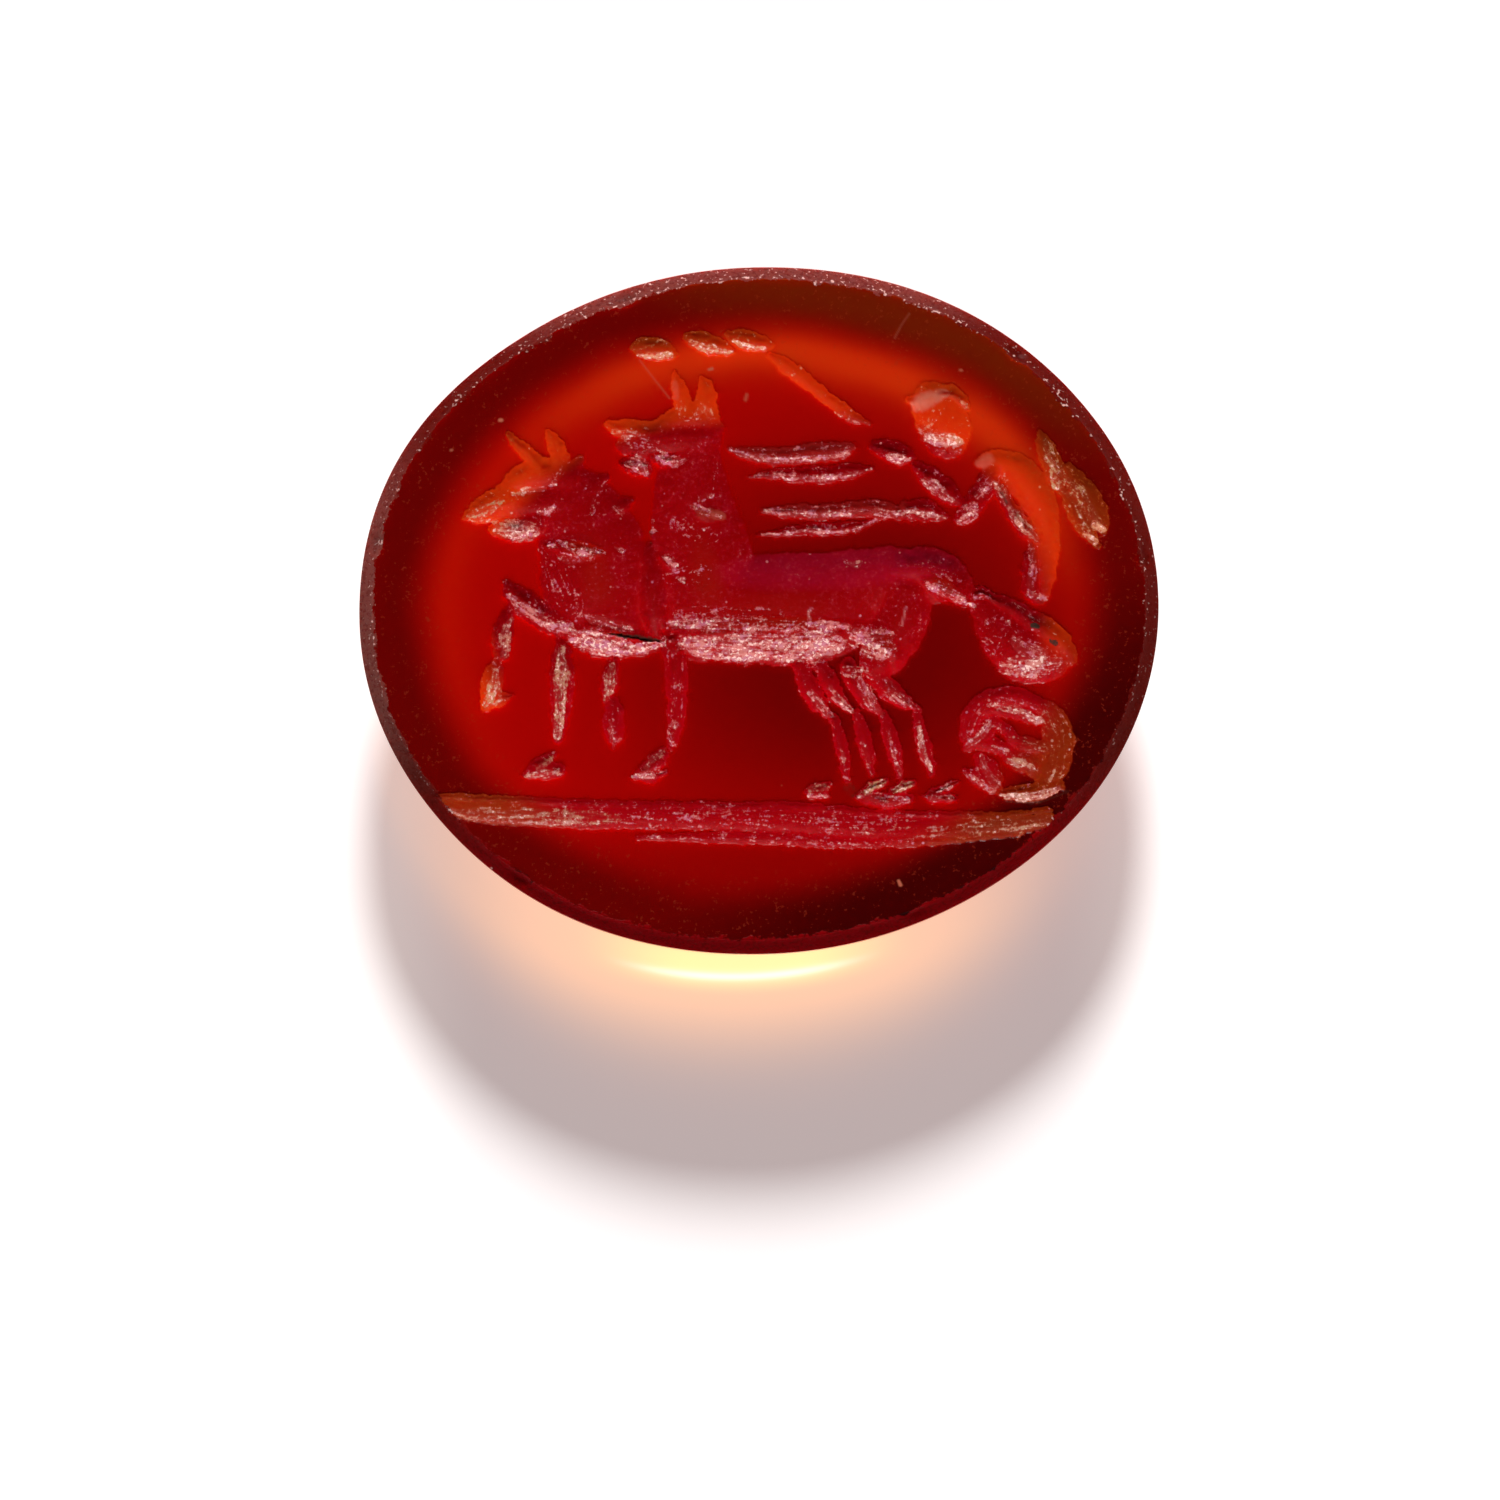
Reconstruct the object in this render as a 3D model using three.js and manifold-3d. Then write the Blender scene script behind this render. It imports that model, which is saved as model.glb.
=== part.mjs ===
// Engraved oval ringstone, cut from one piece of translucent orange-red chalcedony.
// The flat polished face carries a two-horse chariot scene cut below its surface.
// A narrow bevel runs round the face, then a short upright girdle, and the flanks
// draw in below it to a flat back.
// Millimetres. +X is the long axis, +Y is up in the scene, +Z leaves the engraved face.
// The origin is the middle of the flat back.

import * as THREE from 'three';
import { mergeVertices } from 'three/addons/utils/BufferGeometryUtils.js';
import Module from 'manifold-3d';

// Sizes of the stone.
const stoneLength = 13.0;
const stoneWidth = 11.2;
const stoneThickness = 3.2;
const bevelWidth = 0.22;
const bevelDrop = 0.2;
const girdleHeight = 0.35;
const backInset = 1.2;
const backEdgeRadius = 0.15;
const outlineWander = 0.07;

// Depths of the engraving below the face, and the least half width that the tool leaves.
const hollowDepth = 0.46;
const limbDepth = 0.3;
const lineDepth = 0.17;
const finestCut = 0.02;
const cutOverrun = 0.2;

// Chips along the rim, each longer along the rim than across it.
const chipRadius = 0.16;
const chipStretch = 1.8;

// Counts that set how smooth the solid is.
const outlineSteps = 96;
const edgeSteps = 3;
const stepsPerSpan = 1;
const chipSteps = 6;

const halfLength = stoneLength / 2;
const halfWidth = stoneWidth / 2;

// Hand-cut unevenness of the outline, every 30 degrees from +X, as shares of outlineWander.
const wanderShares = [0, 0.2, 0.6, 0, -0.1, 0.9, 0, -0.2, 0.5, 0, -0.3, 0.1];

// Where chips left the rim, as shares of a full turn from +X, and how large each is.
const chipShares = [
  [0.015, 0.8], [0.13, 1], [0.17, 0.7], [0.235, 0.6], [0.3, 1.1],
  [0.39, 0.7], [0.46, 0.9], [0.56, 0.6], [0.64, 0.9], [0.81, 0.7], [0.9, 0.6],
];

// A cross-section of a cut: across it as shares of the half width, and down it as
// shares of the depth. It is the round hollow that a small wheel leaves, under a crisp lip.
const sectionShares = [[-1, 0.1], [-0.75, 0.66], [0, 1], [0.75, 0.66], [1, 0.1]];

// Each cut is a run of places along its middle. A place is a share of the half length
// along X, a share of the half width along Y, and the cut's half width there as a share
// of the half length.
const frontHorseHollowShares = [
  // neck and chest
  [
    [-0.47, 0.37, 0.075], [-0.44, 0.28, 0.11], [-0.415, 0.18, 0.13],
    [-0.41, 0.08, 0.132], [-0.4, 0, 0.12],
  ],
  // belly
  [
    [-0.475, -0.045, 0.012], [-0.43, -0.052, 0.045], [-0.38, -0.06, 0.054],
    [-0.33, -0.072, 0.045], [-0.28, -0.082, 0.028], [-0.238, -0.078, 0.008],
  ],
];
const frontHorseLimbShares = [
  // muzzle, jaw, cheek and brow
  [[-0.728, 0.305, 0.006], [-0.69, 0.318, 0.028], [-0.65, 0.33, 0.038], [-0.605, 0.345, 0.04]],
  [
    [-0.665, 0.272, 0.008], [-0.625, 0.265, 0.026],
    [-0.585, 0.265, 0.034], [-0.545, 0.285, 0.03],
  ],
  [[-0.61, 0.33, 0.035], [-0.555, 0.335, 0.05], [-0.5, 0.335, 0.055], [-0.46, 0.33, 0.05]],
  [[-0.63, 0.372, 0.014], [-0.58, 0.4, 0.036], [-0.53, 0.415, 0.045], [-0.475, 0.405, 0.048]],
  // ears
  [[-0.606, 0.543, 0.007], [-0.585, 0.513, 0.016], [-0.558, 0.478, 0.02], [-0.53, 0.44, 0.028]],
  [
    [-0.508, 0.543, 0.008], [-0.494, 0.512, 0.021],
    [-0.484, 0.475, 0.026], [-0.488, 0.425, 0.03],
  ],
  // mane
  [[-0.428, 0.464, 0.009], [-0.442, 0.435, 0.02], [-0.458, 0.39, 0.03]],
  [[-0.366, 0.402, 0.01], [-0.392, 0.38, 0.024], [-0.425, 0.35, 0.035]],
  [[-0.305, 0.335, 0.01], [-0.335, 0.315, 0.025], [-0.375, 0.29, 0.035]],
  // raised foreleg
  [
    [-0.63, 0.108, 0.01], [-0.602, 0.065, 0.027], [-0.56, 0.018, 0.03],
    [-0.51, -0.015, 0.032], [-0.455, -0.03, 0.03],
  ],
  [[-0.618, 0.048, 0.012], [-0.632, 0, 0.023], [-0.644, -0.05, 0.028], [-0.648, -0.1, 0.02]],
  [
    [-0.656, -0.108, 0.012], [-0.668, -0.15, 0.023],
    [-0.678, -0.2, 0.029], [-0.692, -0.248, 0.016],
  ],
  [[-0.695, -0.25, 0.01], [-0.662, -0.228, 0.02], [-0.626, -0.218, 0.006]],
  // standing legs
  [
    [-0.498, -0.072, 0.016], [-0.498, -0.13, 0.03], [-0.5, -0.2, 0.032],
    [-0.508, -0.28, 0.025], [-0.516, -0.352, 0.014],
  ],
  [
    [-0.366, -0.125, 0.01], [-0.375, -0.165, 0.021],
    [-0.382, -0.205, 0.021], [-0.398, -0.247, 0.006],
  ],
  [
    [-0.374, -0.25, 0.014], [-0.374, -0.285, 0.026],
    [-0.375, -0.335, 0.026], [-0.379, -0.387, 0.006],
  ],
  [
    [-0.222, -0.08, 0.032], [-0.215, -0.16, 0.029], [-0.214, -0.24, 0.028],
    [-0.222, -0.32, 0.023], [-0.236, -0.39, 0.012],
  ],
  // hooves
  [
    [-0.606, -0.452, 0.006], [-0.575, -0.44, 0.022],
    [-0.546, -0.438, 0.027], [-0.517, -0.443, 0.018],
  ],
  [[-0.575, -0.435, 0.012], [-0.552, -0.418, 0.022], [-0.528, -0.395, 0.008]],
  [
    [-0.33, -0.472, 0.006], [-0.305, -0.458, 0.02], [-0.28, -0.438, 0.024],
    [-0.262, -0.415, 0.02], [-0.25, -0.393, 0.007],
  ],
  [[-0.32, -0.474, 0.008], [-0.29, -0.472, 0.016], [-0.252, -0.462, 0.008]],
];
const rearHorseHollowShares = [
  // neck and shoulder
  [
    [-0.115, 0.53, 0.05], [-0.145, 0.45, 0.07], [-0.155, 0.36, 0.092],
    [-0.148, 0.27, 0.108], [-0.135, 0.18, 0.122], [-0.125, 0.08, 0.128], [-0.125, 0.01, 0.115],
  ],
  // barrel
  [
    [-0.15, 0.05, 0.06], [-0.07, 0.075, 0.088], [0.03, 0.076, 0.094],
    [0.14, 0.07, 0.094], [0.25, 0.063, 0.092], [0.35, 0.06, 0.092], [0.42, 0.05, 0.06],
  ],
  // belly
  [
    [-0.225, -0.05, 0.014], [-0.13, -0.054, 0.032], [0, -0.048, 0.036],
    [0.12, -0.062, 0.032], [0.215, -0.06, 0.014],
  ],
  [
    [-0.2, -0.09, 0.014], [-0.12, -0.1, 0.034], [0, -0.1, 0.038],
    [0.12, -0.105, 0.034], [0.2, -0.09, 0.012],
  ],
  [
    [-0.175, -0.122, 0.01], [-0.09, -0.134, 0.022], [0.01, -0.139, 0.024],
    [0.09, -0.144, 0.022], [0.172, -0.152, 0.01],
  ],
  // croup and haunch
  [
    [0.36, 0.09, 0.05], [0.42, 0.092, 0.06], [0.47, 0.065, 0.058],
    [0.502, 0.03, 0.038], [0.53, -0.008, 0.01],
  ],
  [[0.37, 0.03, 0.07], [0.352, -0.045, 0.075], [0.322, -0.11, 0.07], [0.29, -0.175, 0.05]],
];
const rearHorseLimbShares = [
  // nose, head and forehead
  [[-0.36, 0.557, 0.008], [-0.33, 0.545, 0.024], [-0.285, 0.53, 0.032], [-0.235, 0.52, 0.04]],
  [
    [-0.315, 0.495, 0.026], [-0.265, 0.495, 0.046],
    [-0.2, 0.505, 0.056], [-0.135, 0.505, 0.056],
  ],
  [[-0.245, 0.54, 0.014], [-0.2, 0.552, 0.032], [-0.15, 0.56, 0.042], [-0.11, 0.56, 0.038]],
  // jaw and cheek
  [[-0.325, 0.441, 0.008], [-0.295, 0.437, 0.025], [-0.268, 0.428, 0.02], [-0.262, 0.4, 0.006]],
  [[-0.25, 0.456, 0.012], [-0.212, 0.448, 0.022], [-0.164, 0.448, 0.008]],
  // ears
  [
    [-0.184, 0.705, 0.006], [-0.178, 0.665, 0.018],
    [-0.168, 0.62, 0.024], [-0.158, 0.57, 0.027],
  ],
  [
    [-0.118, 0.68, 0.008], [-0.109, 0.65, 0.024],
    [-0.108, 0.612, 0.031], [-0.116, 0.565, 0.032],
  ],
  // hocks
  [
    [0.095, -0.165, 0.02], [0.112, -0.225, 0.029],
    [0.136, -0.28, 0.024], [0.168, -0.328, 0.006],
  ],
  [
    [0.148, -0.17, 0.02], [0.168, -0.225, 0.023],
    [0.192, -0.275, 0.019], [0.224, -0.314, 0.006],
  ],
  [
    [0.215, -0.175, 0.022], [0.238, -0.235, 0.028],
    [0.262, -0.285, 0.021], [0.298, -0.328, 0.006],
  ],
  [[0.285, -0.2, 0.024], [0.312, -0.248, 0.029], [0.346, -0.284, 0.022], [0.39, -0.314, 0.006]],
  // shins
  [
    [0.174, -0.325, 0.012], [0.184, -0.38, 0.018],
    [0.194, -0.445, 0.017], [0.201, -0.508, 0.009],
  ],
  [[0.232, -0.315, 0.012], [0.245, -0.38, 0.02], [0.256, -0.44, 0.018], [0.262, -0.494, 0.009]],
  [[0.298, -0.325, 0.012], [0.31, -0.38, 0.02], [0.322, -0.44, 0.018], [0.331, -0.5, 0.009]],
  [[0.38, -0.325, 0.012], [0.388, -0.38, 0.019], [0.4, -0.44, 0.018], [0.412, -0.5, 0.009]],
  // hooves
  [[0.098, -0.536, 0.008], [0.125, -0.534, 0.02], [0.156, -0.516, 0.008]],
  [
    [0.222, -0.558, 0.008], [0.262, -0.567, 0.02],
    [0.312, -0.574, 0.021], [0.358, -0.568, 0.01],
  ],
  [[0.238, -0.55, 0.01], [0.262, -0.53, 0.016], [0.296, -0.514, 0.009]],
  [[0.312, -0.55, 0.012], [0.338, -0.536, 0.016], [0.364, -0.524, 0.009]],
  [[0.388, -0.565, 0.006], [0.422, -0.57, 0.018], [0.466, -0.576, 0.009]],
  [[0.418, -0.555, 0.012], [0.446, -0.542, 0.012], [0.476, -0.528, 0.005]],
  // tail
  [
    [0.54, 0, 0.02], [0.575, -0.055, 0.046], [0.612, -0.112, 0.068],
    [0.658, -0.16, 0.078], [0.71, -0.184, 0.058], [0.77, -0.18, 0.022],
  ],
  [
    [0.55, 0.015, 0.012], [0.61, -0.015, 0.02], [0.665, -0.06, 0.03],
    [0.718, -0.105, 0.034], [0.757, -0.15, 0.028], [0.775, -0.19, 0.01],
  ],
];
const driverLimbShares = [
  // head, left without features, and cap
  [
    [0.436, 0.6, 0.028], [0.46, 0.572, 0.058], [0.478, 0.524, 0.07],
    [0.49, 0.482, 0.06], [0.498, 0.452, 0.028],
  ],
  [
    [0.4, 0.588, 0.01], [0.432, 0.588, 0.024], [0.472, 0.6, 0.024],
    [0.514, 0.597, 0.024], [0.54, 0.56, 0.012],
  ],
  // whip hand, forearm and upper arm
  [[0.308, 0.456, 0.014], [0.338, 0.446, 0.027], [0.374, 0.43, 0.027], [0.402, 0.424, 0.01]],
  [
    [0.402, 0.402, 0.01], [0.432, 0.37, 0.025], [0.466, 0.334, 0.031],
    [0.496, 0.3, 0.024], [0.518, 0.276, 0.01],
  ],
  [
    [0.604, 0.38, 0.022], [0.582, 0.33, 0.028], [0.552, 0.285, 0.027],
    [0.53, 0.252, 0.026], [0.504, 0.232, 0.01],
  ],
  // back, cloak and hip
  [
    [0.572, 0.4, 0.018], [0.618, 0.396, 0.034], [0.662, 0.364, 0.046], [0.697, 0.308, 0.05],
    [0.722, 0.24, 0.04], [0.73, 0.16, 0.03], [0.725, 0.08, 0.026], [0.712, 0, 0.014],
  ],
  [
    [0.604, 0.348, 0.012], [0.622, 0.3, 0.017], [0.646, 0.25, 0.02],
    [0.672, 0.205, 0.024], [0.702, 0.162, 0.014],
  ],
  [
    [0.692, 0.158, 0.012], [0.685, 0.1, 0.022], [0.681, 0.04, 0.025],
    [0.686, 0.006, 0.02], [0.706, -0.016, 0.008],
  ],
  // wing
  [
    [0.72, 0.478, 0.008], [0.736, 0.43, 0.025], [0.75, 0.38, 0.029],
    [0.762, 0.335, 0.022], [0.772, 0.302, 0.01],
  ],
  [
    [0.8, 0.362, 0.012], [0.82, 0.32, 0.026], [0.842, 0.27, 0.029],
    [0.862, 0.222, 0.024], [0.872, 0.182, 0.009],
  ],
  [[0.78, 0.305, 0.012], [0.8, 0.25, 0.022], [0.822, 0.2, 0.021], [0.85, 0.144, 0.008]],
];
const lineShares = [
  // reins, from the upper pair down, and the hand that holds them
  [
    [-0.058, 0.468, 0.007], [0, 0.45, 0.018], [0.07, 0.441, 0.024],
    [0.15, 0.447, 0.026], [0.215, 0.45, 0.025], [0.252, 0.455, 0.01],
  ],
  [
    [-0.012, 0.385, 0.006], [0.05, 0.39, 0.013], [0.11, 0.385, 0.02],
    [0.18, 0.383, 0.023], [0.25, 0.39, 0.019], [0.3, 0.395, 0.006],
  ],
  [
    [0.02, 0.286, 0.006], [0.08, 0.28, 0.018], [0.16, 0.274, 0.02],
    [0.24, 0.276, 0.02], [0.31, 0.274, 0.024], [0.37, 0.258, 0.014],
  ],
  [
    [0.008, 0.215, 0.005], [0.07, 0.219, 0.011], [0.13, 0.226, 0.017],
    [0.19, 0.223, 0.018], [0.25, 0.228, 0.013], [0.302, 0.243, 0.005],
  ],
  [[0.35, 0.262, 0.01], [0.39, 0.268, 0.026], [0.432, 0.262, 0.028], [0.48, 0.243, 0.009]],
  // whip
  [
    [0.058, 0.738, 0.01], [0.1, 0.7, 0.021], [0.15, 0.65, 0.02],
    [0.2, 0.598, 0.018], [0.245, 0.555, 0.018], [0.298, 0.524, 0.005],
  ],
  // three marks above the horses
  [
    [-0.286, 0.775, 0.01], [-0.25, 0.776, 0.029],
    [-0.212, 0.766, 0.026], [-0.178, 0.754, 0.008],
  ],
  [[-0.152, 0.802, 0.012], [-0.12, 0.79, 0.024], [-0.08, 0.77, 0.025], [-0.034, 0.755, 0.008]],
  [[-0.042, 0.802, 0.014], [-0.01, 0.787, 0.026], [0.028, 0.775, 0.024], [0.062, 0.768, 0.008]],
  // ground line, cut in overlapping passes
  [
    [-0.8, -0.532, 0.012], [-0.68, -0.548, 0.026], [-0.5, -0.57, 0.026],
    [-0.3, -0.59, 0.022], [-0.05, -0.612, 0.02], [0.2, -0.632, 0.02],
    [0.42, -0.652, 0.023], [0.58, -0.66, 0.024], [0.7, -0.655, 0.012],
  ],
  [
    [-0.82, -0.508, 0.006], [-0.62, -0.53, 0.011], [-0.4, -0.556, 0.012], [-0.15, -0.584, 0.012],
    [0.1, -0.602, 0.012], [0.35, -0.625, 0.011], [0.56, -0.636, 0.008],
  ],
  [
    [-0.3, -0.65, 0.005], [-0.1, -0.656, 0.01], [0.12, -0.672, 0.012],
    [0.32, -0.692, 0.014], [0.5, -0.692, 0.017], [0.63, -0.69, 0.008],
  ],
];
const wheelShares = [
  // rim, cut as separate arcs
  [
    [0.508, -0.4, 0.016], [0.52, -0.345, 0.022], [0.56, -0.298, 0.022],
    [0.615, -0.283, 0.02], [0.665, -0.3, 0.018], [0.702, -0.33, 0.018],
  ],
  [[0.558, -0.32, 0.007], [0.6, -0.322, 0.014], [0.645, -0.336, 0.016], [0.692, -0.362, 0.01]],
  [
    [0.7, -0.325, 0.018], [0.732, -0.37, 0.03], [0.74, -0.43, 0.034],
    [0.724, -0.492, 0.034], [0.7, -0.542, 0.026],
  ],
  [[0.58, -0.566, 0.009], [0.62, -0.574, 0.018], [0.672, -0.57, 0.022], [0.73, -0.553, 0.014]],
  [[0.498, -0.508, 0.007], [0.53, -0.53, 0.017], [0.562, -0.545, 0.018], [0.582, -0.55, 0.008]],
  // spokes and hub
  [[0.498, -0.43, 0.007], [0.528, -0.41, 0.016], [0.554, -0.384, 0.018], [0.57, -0.352, 0.01]],
  [[0.53, -0.41, 0.01], [0.57, -0.43, 0.013], [0.602, -0.446, 0.007]],
  [[0.534, -0.465, 0.012], [0.55, -0.49, 0.02], [0.566, -0.52, 0.018]],
  [[0.61, -0.478, 0.012], [0.638, -0.472, 0.024], [0.665, -0.492, 0.02], [0.672, -0.515, 0.01]],
  [[0.622, -0.405, 0.01], [0.655, -0.43, 0.018], [0.7, -0.446, 0.016]],
];

const cuts = [
  [hollowDepth, frontHorseHollowShares],
  [limbDepth, frontHorseLimbShares],
  [hollowDepth, rearHorseHollowShares],
  [limbDepth, rearHorseLimbShares],
  [limbDepth, driverLimbShares],
  [lineDepth, lineShares],
  [lineDepth, wheelShares],
];

const wasm = await Module();
wasm.setup();

// A closed geometry as a solid that can be joined and cut.
function toSolid(geometry) {
  const bare = geometry.clone();
  bare.deleteAttribute('normal');
  bare.deleteAttribute('uv');
  const merged = mergeVertices(bare);
  return new wasm.Manifold(new wasm.Mesh({
    numProp: 3,
    vertProperties: new Float32Array(merged.attributes.position.array),
    triVerts: new Uint32Array(merged.index.array),
  }));
}

function toGeometry(solid) {
  const mesh = solid.getMesh();
  const geometry = new THREE.BufferGeometry();
  geometry.setAttribute('position', new THREE.BufferAttribute(mesh.vertProperties, 3));
  geometry.setIndex(new THREE.BufferAttribute(mesh.triVerts, 1));
  geometry.computeVertexNormals();
  return geometry;
}

// How far the outline stands out of the true oval at an angle.
function wanderAt(angle) {
  const count = wanderShares.length;
  const place = (angle / (2 * Math.PI) + 1) * count;
  const before = Math.floor(place);
  const ease = (1 - Math.cos(Math.PI * (place - before))) / 2;
  const low = wanderShares[before % count];
  const high = wanderShares[(before + 1) % count];
  return outlineWander * (low + (high - low) * ease);
}

// The blank's profile across its width, from the back's middle to the face's middle.
function blankProfile() {
  const profile = [new THREE.Vector2(0, 0)];
  const flankHeight = stoneThickness - bevelDrop - girdleHeight;
  const slope = Math.atan2(flankHeight, backInset);
  const tangent = backEdgeRadius * Math.tan(slope / 2);
  const backHalf = halfWidth - backInset;
  for (let step = 0; step <= edgeSteps; step += 1) {
    const turn = (slope * step) / edgeSteps;
    const across = backHalf - tangent + backEdgeRadius * Math.sin(turn);
    profile.push(new THREE.Vector2(across, backEdgeRadius * (1 - Math.cos(turn))));
  }
  profile.push(new THREE.Vector2(halfWidth, flankHeight));
  profile.push(new THREE.Vector2(halfWidth, flankHeight + girdleHeight));
  profile.push(new THREE.Vector2(halfWidth - bevelWidth, stoneThickness));
  profile.push(new THREE.Vector2(0, stoneThickness));
  return profile;
}

// The blank is turned round, then drawn out along X by the difference of the half sizes.
function blankGeometry() {
  const geometry = new THREE.LatheGeometry(blankProfile(), outlineSteps);
  geometry.rotateX(Math.PI / 2);
  const places = geometry.attributes.position;
  for (let index = 0; index < places.count; index += 1) {
    const x = places.getX(index);
    const y = places.getY(index);
    const radius = Math.hypot(x, y);
    if (radius > 0) {
      const angle = Math.atan2(y, x);
      const stand = wanderAt(angle);
      const along = radius + halfLength - halfWidth + stand;
      places.setXY(index, along * Math.cos(angle), (radius + stand) * Math.sin(angle));
    }
  }
  return geometry;
}

// One cut of the engraving: the section carried along the run, as deep as it is wide.
function cutGeometry(run, depth) {
  const knots = run.map(([along, up, half]) => (
    new THREE.Vector3(along * halfLength, up * halfWidth, half * halfLength)
  ));
  const stations = new THREE.CatmullRomCurve3(knots).getPoints((knots.length - 1) * stepsPerSpan);
  const widest = Math.max(...stations.map((station) => station.z));
  const corners = [];
  stations.forEach((station, index) => {
    const before = stations[Math.max(index - 1, 0)];
    const after = stations[Math.min(index + 1, stations.length - 1)];
    const heading = Math.atan2(after.y - before.y, after.x - before.x);
    const half = Math.max(station.z, finestCut);
    const deep = (depth * half) / Math.max(widest, finestCut);
    const place = (across, z) => corners.push(
      station.x - Math.sin(heading) * across * half,
      station.y + Math.cos(heading) * across * half,
      z,
    );
    sectionShares.forEach(([across, down]) => place(across, stoneThickness - down * deep));
    place(1, stoneThickness + cutOverrun);
    place(-1, stoneThickness + cutOverrun);
  });
  return loftGeometry(corners, sectionShares.length + 2, stations.length);
}

// Joins rings of corners into one closed skin, with a fan of faces over each end.
function loftGeometry(corners, ringSize, ringCount) {
  const faces = [];
  for (let ring = 0; ring + 1 < ringCount; ring += 1) {
    for (let corner = 0; corner < ringSize; corner += 1) {
      const a = ring * ringSize + corner;
      const b = ring * ringSize + ((corner + 1) % ringSize);
      faces.push(a, b, a + ringSize, b, b + ringSize, a + ringSize);
    }
  }
  const last = (ringCount - 1) * ringSize;
  for (let corner = 1; corner + 1 < ringSize; corner += 1) {
    faces.push(0, corner + 1, corner);
    faces.push(last, last + corner, last + corner + 1);
  }
  const geometry = new THREE.BufferGeometry();
  geometry.setAttribute('position', new THREE.Float32BufferAttribute(corners, 3));
  geometry.setIndex(faces);
  return geometry;
}

// A shallow scoop out of the corner where the face meets the bevel.
function chipGeometry(turnShare, sizeShare) {
  const angle = 2 * Math.PI * turnShare;
  const radius = chipRadius * sizeShare;
  const geometry = new THREE.SphereGeometry(radius, chipSteps, chipSteps / 2);
  geometry.scale(chipStretch, 1, 1);
  geometry.rotateZ(angle + Math.PI / 2);
  const along = halfLength - bevelWidth / 2 + wanderAt(angle);
  const up = halfWidth - bevelWidth / 2 + wanderAt(angle);
  geometry.translate(along * Math.cos(angle), up * Math.sin(angle), stoneThickness);
  return geometry;
}

function engravedStone() {
  let stone = toSolid(blankGeometry());
  for (const [depth, runs] of cuts) {
    for (const run of runs) {
      stone = stone.subtract(toSolid(cutGeometry(run, depth)));
    }
  }
  for (const [turnShare, sizeShare] of chipShares) {
    stone = stone.subtract(toSolid(chipGeometry(turnShare, sizeShare)));
  }
  return toGeometry(stone);
}

// Centres the finished stone over the origin, with its back on the ground plane.
function centred(geometry) {
  geometry.computeBoundingBox();
  const { min, max } = geometry.boundingBox;
  geometry.translate(-(min.x + max.x) / 2, -(min.y + max.y) / 2, -min.z);
  return geometry;
}

const carnelian = new THREE.MeshStandardMaterial({ color: 0xa01408, roughness: 0.22, metalness: 0 });
const ringstone = new THREE.Mesh(centred(engravedStone()), carnelian);
ringstone.name = 'ringstone';

const gem = new THREE.Group();
gem.add(ringstone);

export default gem;
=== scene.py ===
import math

import bpy
import numpy as np
from mathutils import Matrix, Vector


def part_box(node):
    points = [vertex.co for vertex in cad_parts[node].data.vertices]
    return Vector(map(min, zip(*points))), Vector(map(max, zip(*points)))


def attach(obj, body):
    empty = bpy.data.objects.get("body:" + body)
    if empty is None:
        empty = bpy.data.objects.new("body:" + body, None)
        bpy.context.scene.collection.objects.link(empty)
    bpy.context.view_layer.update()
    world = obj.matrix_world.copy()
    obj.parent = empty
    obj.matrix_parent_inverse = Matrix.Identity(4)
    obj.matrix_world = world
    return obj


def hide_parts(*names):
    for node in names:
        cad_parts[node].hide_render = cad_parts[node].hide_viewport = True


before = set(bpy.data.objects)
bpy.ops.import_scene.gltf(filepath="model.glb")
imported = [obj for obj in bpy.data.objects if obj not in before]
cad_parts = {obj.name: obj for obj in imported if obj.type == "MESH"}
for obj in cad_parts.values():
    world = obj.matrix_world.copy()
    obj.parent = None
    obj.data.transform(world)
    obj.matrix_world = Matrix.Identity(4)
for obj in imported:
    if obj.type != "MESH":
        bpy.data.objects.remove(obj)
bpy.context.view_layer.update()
stoneLow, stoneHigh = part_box("ringstone")
scene = bpy.context.scene
mm = 0.001
tiny = 1e-9     # keeps a division from being by nothing


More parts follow.
